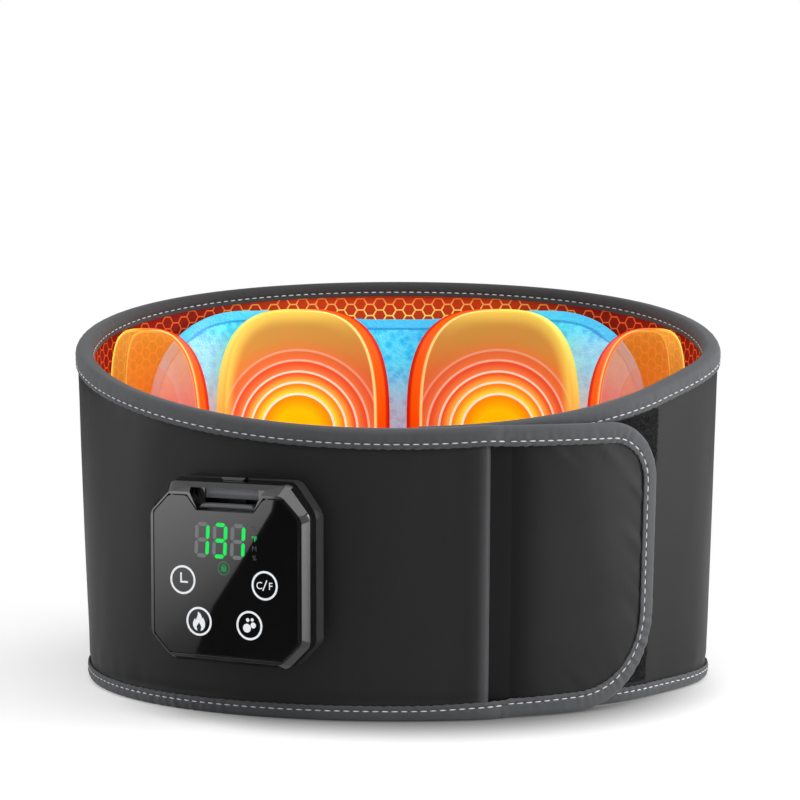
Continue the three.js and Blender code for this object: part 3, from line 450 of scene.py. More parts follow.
def cover_swell(along, up):
    """How far the cover stands out from its flat place."""
    high = rim_height(along)
    edge = np.minimum(up, high - up)
    free = np.sin(math.pi * np.clip(up / high, 0, 1)) ** 0.5
    waves = 0.35 * ripple(along + 0.12 * up, 0.085, 1.0) + 0.22 * ripple(along - 0.2 * up, 0.041, 2.2)
    pulls = 0.28 * ripple(along, 0.0145, 3.1) * bell(edge, 13 * MM, 7 * MM)
    tuck = -0.55 * bell(edge, 9.8 * MM, 1.6 * MM)
    bulge = 1.2 * bell(ROLL_END - along, 7 * MM, 6 * MM) * free
    off_dock = 1 - np.exp(-((along - DOCK_ALONG) / (46 * MM)) ** 6)
    at_seam = ease(ROLL_END - along, 0, 26 * MM)
    swell = ((0.55 + waves) * free + pulls) * at_seam * off_dock + tuck + bulge
    return swell * MM * ease(along, 150 * MM, 40 * MM)


def rolled_line(start, radius):
    """(along, out) of one side of the cover: flat to the seam, and then round the foam's end."""
    centre = ROLL_END - ROLL_RADIUS
    line = [(a, start) for a in stations(STRIP_START, centre, STRIP_STEP)]
    line += [(centre + radius * math.sin(t), -ROLL_RADIUS + radius * math.cos(t))
             for t in np.linspace(0, math.pi, 17)[1:]]
    return np.array(line + [(ROLL_END - 4.4 * MM, -ROLL_RADIUS - radius)])


outer_line, inner_line = rolled_line(0.0, ROLL_RADIUS), rolled_line(-COVER, ROLL_RADIUS - COVER)
cover_shares = (1 - np.cos(math.pi * np.linspace(0, 1, COVER_ROWS))) / 2
on_front = outer_line[:, 1:2] > -ROLL_RADIUS
sheets = []
for line, swelling in ((outer_line, on_front), (inner_line, 0)):
    grid, ups = sheet_grid(line[:, 0], COVER_EDGE, under_rim(COVER_EDGE), cover_shares)
    sheets.append(bend(grid, line[:, 1:2] + cover_swell(grid, ups) * swelling, ups))
outer_cover = piece("belt_cover", sheets, slab_faces(len(outer_line), COVER_ROWS), neoprene)
low_share = 1 - np.clip(ups / rim_height(grid), 0, 1)
# A painted highlight along the rolled edge of the seam, stronger towards the foot, kept in the stretch attribute.
roll_highlight_paint = bell(outer_line[:, 0:1], ROLL_END - 1.5 * MM, 3.6 * MM) * (0.55 + 0.45 * low_share)
mark(outer_cover, "stretch", [roll_highlight_paint * on_front, 0 * roll_highlight_paint])
wear(outer_cover, "belt", "neoprene", "outer_cover", "seam_roll")
print("cover", len(outer_cover.data.polygons), "faces")

# %% [markdown]
# Between cover and lining lies the foam core, in two strips with the cable channel between them. It never shows while
# the belt is whole, so plain slabs with a pore texture are enough.

# %% Foam core
FOAM_OUT, FOAM_IN, FOAM_EDGE = -1.8 * MM, -4.7 * MM, 2.4 * MM
CHANNEL_LOW, CHANNEL_HIGH = 51.9 * MM, 58.5 * MM
foam_stations = stations(STRIP_START, ROLL_END - 3 * MM, 6 * MM)
for name, low, high in (("core_foam_upper", CHANNEL_HIGH, under_rim(FOAM_EDGE)),
                        ("core_foam_lower", FOAM_EDGE, CHANNEL_LOW)):
    core = wall_slab(name + "_soft", foam_stations, low, high, 8, FOAM_OUT, FOAM_IN, foam)
    wear(core, "belt", "foam", name)
print("foam core made")

# %% [markdown]
# Stitches, honeycomb ribs, pile and hooks repeat hundreds or thousands of times. Copying meshes in a loop would work,
# but Geometry Nodes keep the rule in sight: points go in, one small shape is set on each, and the sizes are named
# inputs that can be changed in one place. The helper builds such a tree, runs it once, and keeps a plain mesh.

# %% Geometry Nodes helper
class Growth(Nodes):
    def __init__(self, name, **inputs):
        super().__init__(bpy.data.node_groups.new(name, "GeometryNodeTree"))
        face = self.tree.interface
        for way in ("INPUT", "OUTPUT"):
            face.new_socket("Geometry", in_out=way, socket_type="NodeSocketGeometry")
        self.values = {}
        for key, value in inputs.items():
            kind = "NodeSocketInt" if isinstance(value, int) else "NodeSocketFloat"
            self.values[face.new_socket(key, in_out="INPUT", socket_type=kind).identifier] = value
        self.start = self.node("NodeGroupInput")

    def given(self, name):
        return self.start.outputs[name]

    def stored(self, name):
        return self.node("GeometryNodeInputNamedAttribute", {"data_type": "FLOAT_VECTOR"}, Name=name)

    def turned(self, out, across):
        return self.node("FunctionNodeAxesToRotation", Primary_Axis=out, Secondary_Axis=across)

    def sized(self, shape, x, y, z):
        size = self.node("ShaderNodeCombineXYZ", X=x, Y=y, Z=z)
        return self.node("GeometryNodeTransform", Geometry=shape, Scale=size)

    def plant(self, finish, points, shape, rotation=None, **more):
        """Set the shape on each point, make it real, and give it its finish."""
        rotation = rotation or self.turned(self.stored("facing"), self.stored("run"))
        field = self.node("GeometryNodeInstanceOnPoints", Points=points, Instance=shape, Rotation=rotation, **more)
        real = self.node("GeometryNodeRealizeInstances", Geometry=field)
        painted = self.node("GeometryNodeSetMaterial", Geometry=real, Material=finish)
        self.node("NodeGroupOutput", _0=painted)
        return self

    def run(self, name, points, edges=(), faces=(), **vectors):
        mesh = bpy.data.meshes.new(name)
        mesh.from_pydata(np.asarray(points).tolist(), edges, faces)
        obj = show(name, mesh)
        for key, values in vectors.items():
            mark(obj, key, values, "FLOAT_VECTOR")
        modifier = obj.modifiers.new("grow", "NODES")
        modifier.node_group = self.tree
        for identifier, value in self.values.items():
            modifier[identifier] = value
        plain = bpy.data.meshes.new_from_object(obj.evaluated_get(bpy.context.evaluated_depsgraph_get()))
        for used in [a.name for a in plain.attributes if a.name in ("facing", "run")]:
            plain.attributes.remove(plain.attributes[used])
        obj.modifiers.clear()
        obj.data = plain
        plain.shade_smooth()
        plain.set_sharp_from_angle(angle=math.radians(50))
        bpy.data.meshes.remove(mesh)
        print(name, len(plain.polygons), "faces")
        return obj


# %% [markdown]
# One stitch is a short thread that dives into the cloth at both ends, so a stretched ball, half sunk in the tape, is
# the right small shape. The path is cut into equal steps of one stitch pitch, and each ball lies along the path with
# its flat side to the cloth.

# %% Stitch rows
PITCH = 4.4 * MM
STITCH_IN = 2.3 * MM


def stitch_tree(name, **sizes):
    tree = Growth(name, **sizes)
    line = tree.node("GeometryNodeMeshToCurve", Mesh=tree.start)
    steps = tree.node("GeometryNodeResampleCurve", {"mode": "LENGTH"}, Curve=line, Length=tree.given("Pitch"))
    ball = tree.node("GeometryNodeMeshUVSphere", Segments=8, Rings=5, Radius=0.5)
    stitch = tree.sized(ball, tree.given("Thickness"), tree.given("Thickness"), tree.given("Length"))
    return tree.plant(thread, steps, stitch, tree.turned(tree.node("GeometryNodeInputTangent"), tree.stored("facing")))


sewing = stitch_tree("stitch_row", Pitch=PITCH, Length=3.1 * MM, Thickness=0.62 * MM)
back_sewing = stitch_tree("inner_stitch_row", Pitch=4.3 * MM, Length=2.9 * MM, Thickness=0.6 * MM)


def stitch_row(name, alongs, ups, inward, legs, out, tree, body, keep=slice(None)):
    """Stitches along a tape, a little in from the end of its leg."""
    alongs, ups, inset, out = np.broadcast_arrays(alongs, ups, legs - STITCH_IN, out)
    inward = np.broadcast_to(inward, (len(alongs), 2))
    alongs = alongs + inward[:, 0] * inset
    path = bend(alongs, out, ups + inward[:, 1] * inset)[keep]
    row = tree.run(name, path, [(i, i + 1) for i in range(len(path) - 1)], facing=facing(alongs)[keep])
    wear(row, body, "binding_cloth")


# %% [markdown]
# The edge tape is folded over the belt's raw edge and sewn through both its legs. Its section is a narrow U with a
# soft fold. At each stitch the thread pulls the tape down, so the tape swells between stitches and its cut edge
# wavers. These dimples are only half a millimetre deep, but they are what makes the edge read as sewn cloth.

# %% Folded tape
TAPE = 1.0 * MM
FRONT_FACE, BACK_FACE = 0.3 * MM, -6.3 * MM
# How far each part of the section moves (inwards, outwards) in mm, with the stitches, small waves and gathers.
DIMPLES = {"end": ((0.18, 0.14, 0), (0, 0.1, 0)), "lip": ((0.08, 0, 0), (0.16, 0.12, 0.25)),
           "line": ((0, 0, 0), (0.16, 0.05, 0)), "swell": ((0, 0, 0), (0.1, 0.16, 0.55)),
           "fold": ((0, 0, 0), (0, 0.08, 0.35)), "flat": ((0, 0, 0), (0, 0, 0))}


def tape_section(front, back, front_leg, back_leg, fold):
    """(in from the edge, out, part of the section) round a U, outer side first."""
    top, low, inner = front + TAPE, back - TAPE, fold - TAPE
    line, back_line = front_leg - STITCH_IN, back_leg - STITCH_IN
    turns = np.linspace(0, math.pi / 2, 7)
    rows = [(front_leg, front + TAPE * 0.35, "end"), (front_leg, top - 0.2 * MM, "end"),
            (front_leg - 0.5 * MM, top, "lip"), (line + 0.9 * MM, top + 0.15 * MM, "lip"),
            (line + 0.35 * MM, top, "line"), (line, top - 0.32 * MM, "line"), (line - 0.35 * MM, top, "line"),
            (line - 1.0 * MM, top + 0.12 * MM, "swell"), ((line - 1.0 * MM + fold) / 2, top + 0.1 * MM, "swell")]
    rows += [(fold * (1 - math.sin(t)), top - fold * (1 - math.cos(t)), "fold") for t in turns]
    rows += [(fold * (1 - math.cos(t)), low + fold * (1 - math.sin(t)), "fold") for t in turns]
    return rows + [(*place, "flat") for place in (
        ((back_line - 1.0 * MM + fold) / 2, low - 0.08 * MM), (back_line - 0.35 * MM, low),
        (back_line, low + 0.3 * MM), (back_line + 0.35 * MM, low), (back_leg, low + 0.1 * MM),
        (back_leg, back - TAPE * 0.3), (back_leg - 0.4 * MM, back), (fold, back),
        (fold - inner * 0.7, back + inner * 0.3), (TAPE, back + inner), (TAPE, front - inner),
        (fold - inner * 0.7, front - inner * 0.3), (fold, front), (front_leg - 0.4 * MM, front))]


def folded_tape(name, alongs, ups, inward, legs, front, back, back_leg, wrinkles, fold=3.2 * MM):
    """A tape along an edge of the flat strip. inward is the way in from the edge. Most sizes may change along it."""
    alongs, ups, legs, front, back, wrinkles = np.broadcast_arrays(alongs, ups, legs, front, back, wrinkles)
    run = np.concatenate([[0], np.cumsum(np.hypot(np.diff(alongs), np.diff(ups)))])
    waves = np.stack([np.cos(run / PITCH * 2 * math.pi), ripple(run, 6.7 * MM, 4.0),
                      wrinkles * ripple(run, 5.2 * MM, 5.5, 0)], -1)
    sections = [tape_section(*sizes, back_leg, fold) for sizes in zip(front, back, legs)]
    loops = np.array([[place[:2] for place in section] for section in sections])
    for j, (_, _, part) in enumerate(sections[0]):
        loops[:, j] += waves @ np.transpose(DIMPLES[part]) * MM
    inward = np.broadcast_to(inward, (len(run), 2))
    a = alongs[:, None] + inward[:, 0:1] * loops[:, :, 0]
    u = ups[:, None] + inward[:, 1:2] * loops[:, :, 0]
    return piece(name, bend(a, loops[:, :, 1], np.maximum(u, 0)), tube_faces(len(run), loops.shape[1]), tape, 60)


# %% [markdown]
# The rim tape and the foot tape run the whole strip, from the tail behind the flap to the seam, where they ease down
# to the flap's thinner panel. The rim tape's inner leg is a little shorter than its outer one, and the foot tape is
# gathered into small pleats at the left, where the belt bends most. Their outer stitches stop just before the seam,
# because the open flap comes there.

# %% Rim and foot tapes
TAPE_START, TAPE_END = 10 * MM, SEAM - 0.3 * MM
RIM_LEG, RIM_BACK_LEG, FOOT_BACK_LEG = 9.4 * MM, 8.2 * MM, 8.6 * MM
UP, DOWN = (0.0, 1.0), (0.0, -1.0)
tape_alongs = stations(TAPE_START, TAPE_END, 1.1 * MM)
to_flap = ease(tape_alongs, SEAM - 11 * MM, 14.4 * MM)
tape_fronts = FRONT_FACE - 2.1 * MM * to_flap
rim_ups = rim_height(tape_alongs) - 1.2 * MM * to_flap
rim_wrinkles = 0.25 * bell(tape_alongs, 0.205, 0.03) + 0.3 * bell(tape_alongs, 0.64, 0.03)
foot_wide = ease(np.abs(tape_alongs - SEAM + 90 * MM), 84 * MM, 140 * MM) * ease(tape_alongs, 0.36, 0.2)
foot_legs = (7.3 + 2.2 * foot_wide + 1.3 * ease(tape_alongs, SEAM - 45 * MM, 45 * MM)) * MM
foot_wrinkles = 1.1 * bell(tape_alongs, 0.765, 0.03) + 0.15
before_seam = tape_alongs < SEAM - 2.2 * MM
for edge, node, ups, inward, legs, back_leg, wrinkles in (
    ("rim", "top_binding", rim_ups, DOWN, RIM_LEG, RIM_BACK_LEG, rim_wrinkles),
    ("foot", "bottom_binding", 0.0, UP, foot_legs, FOOT_BACK_LEG, foot_wrinkles),
):
    made = folded_tape(edge + "_tape", tape_alongs, ups, inward, legs, tape_fronts, BACK_FACE, back_leg, wrinkles)
    wear(made, "belt", "binding_cloth", node)
    stitch_row(edge + "_stitches", tape_alongs, ups, inward, legs, tape_fronts + TAPE - 0.1 * MM, sewing, "belt",
               before_seam)
    stitch_row(edge + "_inner_stitches", tape_alongs, ups, inward, back_leg, BACK_FACE - TAPE + 0.08 * MM,
               back_sewing, "belt")

# %% [markdown]
# Two small ends finish the strip. A tape closes the tail, which hides behind the front panel. At the seam a narrow web
# of neoprene joins the flap to the belt. It is the real hinge, so it bends between the two bodies.

# %% Tail end
FLAP_HINGE = SEAM + 3.4 * MM
end_ups = stations(10.3 * MM, float(rim_height(TAPE_START)) - 10.3 * MM, 1.5 * MM)
tail_tape = folded_tape("tail_tape", TAPE_START, end_ups, (1.0, 0.0), 9.4 * MM, FRONT_FACE, BACK_FACE, 9.4 * MM, 0.1)
wear(tail_tape, "belt", "binding_cloth", "tail_end_binding")

# %% Hinge web
WEB_THICK = 1.3 * MM
WEB_START, WEB_END = ROLL_END - 1.0 * MM, FLAP_HINGE + 1.2 * MM
WEB_LOW, WEB_HIGH = 1.6 * MM, float(rim_height(SEAM)) - 1.8 * MM


def web_face(along, up):
    return (-3.5 + 1.3 * ease(along, ROLL_END, WEB_END - ROLL_END)) * MM


hinge_web = wall_slab("hinge_web", stations(WEB_START, WEB_END, 0.7 * MM), WEB_LOW, WEB_HIGH,
                      len(stations(WEB_LOW, WEB_HIGH, 3 * MM)), web_face,
                      lambda along, up: web_face(along, up) - WEB_THICK, neoprene)
# The web is painted darker all over, a painted shade in the fold at the seam.
mark(hinge_web, "stretch", np.full(len(hinge_web.data.vertices), -0.6))
hinge_start, hinge_end = (Vector(bend(a, -3.6 * MM, 68 * MM)) for a in (SEAM, FLAP_HINGE + 0.4 * MM))
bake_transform(hinge_web, "belt", "flap", start=hinge_start, end=hinge_end)

# %% [markdown]
# The flap swings on the seam and carries hooks on its back. Its outline is straight along the top and the floor and
# round at its two free corners. The panel is a thin neoprene sandwich, so it swells like a slack cushion between its
# bound edges.

# %% Flap outline
FLAP_TIP = FLAP_HINGE + 79 * MM
FLAP_LOW, FLAP_HIGH = 0.6 * MM, float(rim_height(FLAP_HINGE)) - 1.23 * MM
TOP_RADIUS, BOTTOM_RADIUS = 29 * MM, 45 * MM
FLAP_MIDDLE, FLAP_THICK = -3.8 * MM, 3.4 * MM
FLAP_FACE, FLAP_BACK = FLAP_MIDDLE + FLAP_THICK / 2, FLAP_MIDDLE - FLAP_THICK / 2


def flap_corner(radius, up, start, step):
    count = int(radius * 1.57 / step)
    turns = start + math.pi / 2 * np.arange(count + 1) / count
    return [(FLAP_TIP - radius + radius * math.cos(t), up + radius * math.sin(t)) for t in turns]


def flap_edge(step):
    """Points along the flap's free edge, from the hinge along the floor, round the tip and back along the top."""
    low, high = FLAP_LOW + BOTTOM_RADIUS, FLAP_HIGH - TOP_RADIUS
    points = [(a, FLAP_LOW) for a in stations(FLAP_HINGE, FLAP_TIP - BOTTOM_RADIUS, step)[:-1]]
    points += flap_corner(BOTTOM_RADIUS, low, -math.pi / 2, step)
    points += [(FLAP_TIP, u) for u in stations(low, high, step)[1:-1]]
    points += flap_corner(TOP_RADIUS, high, 0, step)
    points += [(a, FLAP_HIGH) for a in stations(FLAP_HINGE, FLAP_TIP - TOP_RADIUS, step)[::-1][1:]]
    return np.array(points)


def flap_reach(along, inset):
    """The flap's lower and upper edge at that place, drawn in by inset."""
    drops = []
    for radius in (BOTTOM_RADIUS, TOP_RADIUS):
        past = np.maximum(0, along - (FLAP_TIP - radius))
        drops.append(radius - np.sqrt(np.maximum(0, (radius - inset) ** 2 - past ** 2)))
    return FLAP_LOW + drops[0], FLAP_HIGH - drops[1]


def flap_slab(name, start, inset, step, rows, outer, inner, finish):
    """A layer of the flap, with closer places round its lower corner."""
    tip, radius = FLAP_TIP - inset, BOTTOM_RADIUS - inset
    corner = [tip - radius * (1 - math.sin(math.pi / 2 * i / 22)) for i in range(1, 23)]
    alongs = np.concatenate([stations(start, tip - radius, step), corner])
    low, high = (lambda along, side=side: flap_reach(along, inset)[side] for side in (0, 1))
    return wall_slab(name, alongs, low, high, rows, outer, inner, finish), alongs


# %% Flap panel, tape, stitches and hooks
PANEL_ROWS = 56
FLAP_FOLD = 2.9 * MM
TAPE_FACE, TAPE_BACK = FLAP_FACE + 0.3 * MM, FLAP_BACK - 0.3 * MM


def flap_swell(along, up):
    low, high = flap_reach(along, 2 * MM)
    edge = np.minimum.reduce([up - low, high - up, FLAP_TIP - 2 * MM - along])
    free = 1 - np.exp(-np.maximum(edge, 0) / (16 * MM))
    pull = 0.35 * ripple(along + up, 0.013, 7.7) * bell(edge, 11 * MM, 6 * MM)
    waves = 0.3 * ripple(along + 0.3 * up, 0.07, 8.1) + 0.25 * ripple(up - 0.2 * along, 0.055, 9.4)
    return FLAP_FACE + ((0.9 + waves) * free + pull) * MM * ease(along, FLAP_HINGE, 14 * MM)


flap_panel, panel_alongs = flap_slab("flap_cover", FLAP_HINGE, 2.3 * MM, 2.2 * MM, PANEL_ROWS, flap_swell, FLAP_BACK,
                                     neoprene)
# The flap's panel is painted darker by its hinge, a painted shade that fades within a few centimetres.
hinge_shade_paint = -1.05 * np.exp(-(np.repeat(panel_alongs, PANEL_ROWS) - FLAP_HINGE) / (13 * MM))
mark(flap_panel, "stretch", [hinge_shade_paint, hinge_shade_paint])
wear(flap_panel, "flap", "neoprene", "flap_panel")

edge_alongs, edge_ups = edge_points = flap_edge(1.1 * MM).T
edge_run = np.gradient(edge_points, axis=1)
edge_run /= np.linalg.norm(edge_run, axis=0)
edge_inwards = np.stack([-edge_run[1], edge_run[0]], -1)
edge_place = np.concatenate([[0], np.cumsum(np.linalg.norm(np.diff(edge_points), axis=0))])
flap_legs = (8.6 + ease(edge_place, 0, 45 * MM)) * MM
flap_wrinkles = 1.2 * bell(edge_place, 0.085, 0.022) + 0.5 * bell(edge_place, 0.195, 0.02) + 0.12
flap_tape = folded_tape("flap_tape", edge_alongs, edge_ups, edge_inwards, flap_legs, TAPE_FACE, TAPE_BACK, 9.0 * MM,
                        flap_wrinkles, FLAP_FOLD)
wear(flap_tape, "flap", "binding_cloth", "flap_binding")
stitch_row("flap_stitches", edge_alongs, edge_ups, edge_inwards, flap_legs, TAPE_FACE + TAPE - 0.1 * MM, sewing, "flap")

bridge_alongs = stations(SEAM - 0.9 * MM, FLAP_HINGE + 0.6 * MM, 0.35 * MM)
bridge = ease(bridge_alongs, SEAM - 0.3 * MM, 3.7 * MM)


def bridged(on_belt, on_flap):
    return on_belt * (1 - bridge) + on_flap * bridge


for name, ups, inward, belt_leg, flap_leg in (
    ("rim_bridge", bridged(rim_ups[-1], FLAP_HIGH) + 0.03 * MM, DOWN, RIM_LEG, flap_legs[-1]),
    ("foot_bridge", bridged(0, FLAP_LOW), UP, foot_legs[-1], flap_legs[0]),
):
    made = folded_tape(name, bridge_alongs, ups, inward, bridged(belt_leg, flap_leg),
                       bridged(tape_fronts[-1], TAPE_FACE) + 0.04 * MM, bridged(BACK_FACE, TAPE_BACK) - 0.03 * MM,
                       8.2 * MM, 0, FLAP_FOLD)
    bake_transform(made, "belt", "flap", start=hinge_start, end=hinge_end)
print("flap", len(flap_panel.data.polygons), "faces and tape", len(flap_tape.data.polygons), "faces")

# %% [markdown]
# Hook and loop is two cloths. The loop side, on the tail, is a felt of fine curled threads, and its frayed edge shows
# beyond the flap. The hook side, on the flap's back, is a field of stiff little hooks. Both are a thin backing with
# thousands of small shapes on it, the loops thrown at random with a fixed seed, the hooks in rows.

# %% Loop strip
LOOP_START, LOOP_END = FLAP_HINGE - PLAN_LENGTH + 12 * MM, FLAP_TIP - PLAN_LENGTH + 2 * MM
LOOP_EDGE, LOOP_ROWS, PILE_ROWS = 9.2 * MM, 60, 40
loop_alongs = stations(LOOP_START, LOOP_END, 1.2 * MM)
pile_alongs = stations(LOOP_START + 38 * MM, LOOP_END + 0.3 * MM, 2 * MM)


def fibre_tree():
    tree = Growth("loop_pile", Density=2600000.0, Length=1.3 * MM, Width=0.13 * MM, Seed=7)
    spread = tree.node("GeometryNodeDistributePointsOnFaces", Mesh=tree.start, Density=tree.given("Density"),
                       Seed=tree.given("Seed"))
    lean, size = (tree.node("FunctionNodeRandomValue", {"data_type": "FLOAT_VECTOR"}, _0=least, _1=most, Seed=seed)
                  for least, most, seed in (((-1.1, -1.1, 0.25), (1.1, 1.1, 1.0), 3),
                                            ((0.6, 0.6, 0.35), (1.0, 1.0, 1.1), 5)))
    turned = tree.node("FunctionNodeRotateRotation", {"rotation_space": "LOCAL"}, Rotation=spread.outputs["Rotation"],
                       Rotate_By=tree.turned(lean, (1, 0, 0)))
    blade = tree.node("GeometryNodeMeshCone", Vertices=3, Side_Segments=1, Radius_Top=0.02 * MM,
                      Radius_Bottom=tree.given("Width"), Depth=tree.given("Length"))
    return tree.plant(loop_pile, spread, blade, turned, Scale=size)


def loop_face(along, up):
    return (1.15 + 0.25 * ripple(along + up * 0.7, 2.3 * MM, 1.9) * ripple(up - along, 3.1 * MM, 4.4)) * MM


def loop_grid(alongs, rows, edge, out):
    """Points of the strip. It was sewn on a little askew and frays, so its free edge leans and wavers."""
    grid = np.repeat(alongs[:, None], rows, 1)
    ups = edge + (rim_height(grid) - 2 * edge) * np.linspace(0, 1, rows)
    lean = 1.0 + 4.6 * np.clip(ups / rim_height(grid), 0, 1)
    fray = lean + 0.5 * ripple(ups, 6.3 * MM, 2.2) + 0.3 * ripple(ups, 2.1 * MM, 7.1)
    grid = grid + ease(grid, LOOP_END - 30 * MM, 30 * MM) * fray * MM
    return bend(grid, rule_at(out, grid, ups), ups).reshape(-1, 3)


loop_points = [loop_grid(loop_alongs, LOOP_ROWS, LOOP_EDGE, out) for out in (loop_face, 0.3 * MM)]
loop_cloth = piece("loop_cloth", loop_points, slab_faces(len(loop_alongs), LOOP_ROWS), loop_pile)
wear(loop_cloth, "belt", "fastener_cloth", "loop_strip")
pile_faces = [(i, i + PILE_ROWS, i + PILE_ROWS + 1, i + 1) for i in range((len(pile_alongs) - 1) * PILE_ROWS)
              if (i + 1) % PILE_ROWS]
loop_fibres = fibre_tree().run("loop_fibres", loop_grid(pile_alongs, PILE_ROWS, LOOP_EDGE + 0.5 * MM, 1.1 * MM),
                               faces=pile_faces)
wear(loop_fibres, "belt", "fastener_cloth")

# %% Hook patch
HOOK_START, HOOK_INSET, HOOK_STEP = FLAP_HINGE + 12 * MM, 12 * MM, 1.5 * MM
HOOK_BASE = FLAP_BACK - 0.3 * MM


def hook_tree():
    tree = Growth("hook_field", Height=0.55 * MM, Width=0.3 * MM)
    stem = tree.node("GeometryNodeMeshCone", Vertices=5, Side_Segments=2, Radius_Top=0.12 * MM,
                     Radius_Bottom=tree.given("Width"), Depth=tree.given("Height"))
    return tree.plant(hook_plastic, tree.start, stem)


hook_patch, _ = flap_slab("hook_cloth", HOOK_START, HOOK_INSET, 2.5 * MM, 30, HOOK_BASE, HOOK_BASE - 0.75 * MM,
                          hook_plastic)
wear(hook_patch, "flap", "fastener_cloth", "hook_patch")
hook_places = []
for along in np.arange(HOOK_START + 1 * MM, FLAP_TIP - HOOK_INSET - 1 * MM, HOOK_STEP):
    low, high = flap_reach(along, HOOK_INSET + 1 * MM)
    hook_places += [(along, up) for up in np.arange(low, high, HOOK_STEP)]
hook_alongs, hook_ups = np.array(hook_places).T
hooks = hook_tree().run("hook_field", bend(hook_alongs, HOOK_BASE - 0.6 * MM, hook_ups), facing=-facing(hook_alongs),
                        run=np.tile([0.0, 0.0, 1.0], (len(hook_alongs), 1)))
wear(hooks, "flap", "fastener_cloth")

# %% [markdown]
# The lining is a red cloth with a honeycomb of raised amber lines. The honeycomb could be a bump texture, but the ribs
# catch light and break the edge of every shadow, so they are real. Each cell only needs the upper half of its hexagon,
# because its neighbours below supply the rest. So one bent rib of three sides is set on a lattice of cell centres.
# The picture lights the middle of the back more than its sides, and the colours follow that.

# %% Lining
LINING_IN, LINING_OUT, LINING_EDGE = -6.0 * MM, -5.0 * MM, 2.1 * MM
SIDE_FROM, SIDE_TO = 0.05, 0.115


def make_lining():
    # The lining cloth carries a painted glow by its emission. Its colour is painted lighter at the middle of the back
    # than at its sides, as painted light, and a little lighter towards the top.
    look = Finish("lining_cloth", Sheen_Weight=0.05, Specular_IOR_Level=0.12, Emission_Strength=0.36)
    knit = look.noise(1800, 2)
    middle = look.mix(look.span(look.axis("Z"), 0.06, 0.17), (184, 30, 4), (190, 52, 12))
    colour = look.mix(look.span(look.aside(), SIDE_FROM, SIDE_TO), look.mix(knit, middle, (178, 50, 18)),
                      look.mix(knit, (112, 8, 0), (136, 18, 0)))
    return look.close(colour, look.span(knit, 0.3, 0.7, 0.55, 0.75), knit, 0.00008, 0.6, glowing=True)


def make_rib():
    # The ribs carry a painted glow by their emission, and are painted paler and yellower at the middle of the back than
    # at its sides, as painted light. Their top rows, just under the rim tape, are drawn orange.
    look = Finish("lining_rib", Specular_IOR_Level=0.25, Emission_Strength=0.42)
    worn = look.noise(160, 3)
    middle = look.mix(look.span(look.axis("Z"), 0.181, 0.192), look.mix(worn, (236, 176, 76), (248, 214, 116)),
                      look.mix(worn, (206, 92, 20), (224, 128, 40)))
    colour = look.mix(look.span(look.aside(), SIDE_FROM, SIDE_TO), middle, look.mix(worn, (196, 68, 6), (220, 94, 14)))
    return look.close(colour, look.span(worn, 0.3, 0.7, 0.35, 0.5), look.noise(2600, 2), 0.00004, 0.5, glowing=True)


inner_lining = wall_slab("lining", stations(STRIP_START, STRIP_END, 4 * MM), LINING_EDGE, under_rim(LINING_EDGE), 30,
                         LINING_OUT, LINING_IN, make_lining())
wear(inner_lining, "belt", "lining_cloth", "inner_lining")

# %% Honeycomb ribs
CELL = 3.7 * MM
CELL_RISE = CELL * math.sqrt(3)


def honeycomb_tree():
    tree = Growth("honeycomb", Cell=CELL, Width=0.9 * MM, Height=0.5 * MM)
    arc = tree.node("GeometryNodeCurveArc", Resolution=4, Radius=tree.given("Cell"), Start_Angle=0.0,
                    Sweep_Angle=math.pi)
    section = tree.node("GeometryNodeCurvePrimitiveCircle", Resolution=4, Radius=0.5)
    flat = tree.sized(section, tree.given("Width"), tree.given("Height"), 1.0)
    return tree.plant(make_rib(), tree.start, tree.node("GeometryNodeCurveToMesh", Curve=arc, Profile_Curve=flat))


cells = []
for i, along in enumerate(np.arange(STRIP_START + 8 * MM, STRIP_END - 4 * MM, CELL * 1.5)):
    start = 11 * MM + (CELL_RISE / 2 if i % 2 else 0)
    cells += [(along, up) for up in np.arange(start, float(rim_height(along)) - 10.5 * MM, CELL_RISE)]
cell_alongs, cell_ups = np.array(cells).T
honeycomb = honeycomb_tree().run("lining_honeycomb", bend(cell_alongs, LINING_IN, cell_ups),
                                 facing=-facing(cell_alongs), run=np.cross(facing(cell_alongs), [0.0, 0.0, 1.0]))
wear(honeycomb, "belt", "lining_cloth")
print("honeycomb of", len(cells), "cells")

# %% [markdown]
# The gel pack is a flat pouch with a welded rim. It is blown up by cloth simulation while it lies flat, with its rim
# held, because real film takes its pillow shape in just that way. Then the pouch is laid into the belt with the same
# bend as the rest, and its gel gets fine lumps. Simulating it already bent would let it press through the lining.

# %% Gel pack: the flat pouch
PACK_HALF, PACK_LOW, PACK_HIGH = 158 * MM, 58.5 * MM, 184 * MM
PACK_FACE, PACK_THICK = -6.3 * MM, 4.5 * MM
WELD, WELD_THICK = 5 * MM, 1.6 * MM
CORNER_LONG, CORNER_TALL, CORNER_STEPS = 66 * MM, 56 * MM, 34
PACK_DIP, PACK_STEP = 5.2 * MM, 2.2 * MM


def pack_reach(along):
    """The pouch's lower and upper edge at a distance from its middle. Its ends are broad quarter ovals, and its top
    edge dips a little at the middle."""
    past = np.maximum(0, np.abs(along) - (PACK_HALF - CORNER_LONG)) / CORNER_LONG
    cut = CORNER_TALL * (1 - np.sqrt(np.maximum(0, 1 - past ** 2)))
    return PACK_LOW + cut, PACK_HIGH - cut - PACK_DIP * (1 - ease(np.abs(along), 12 * MM, 66 * MM))


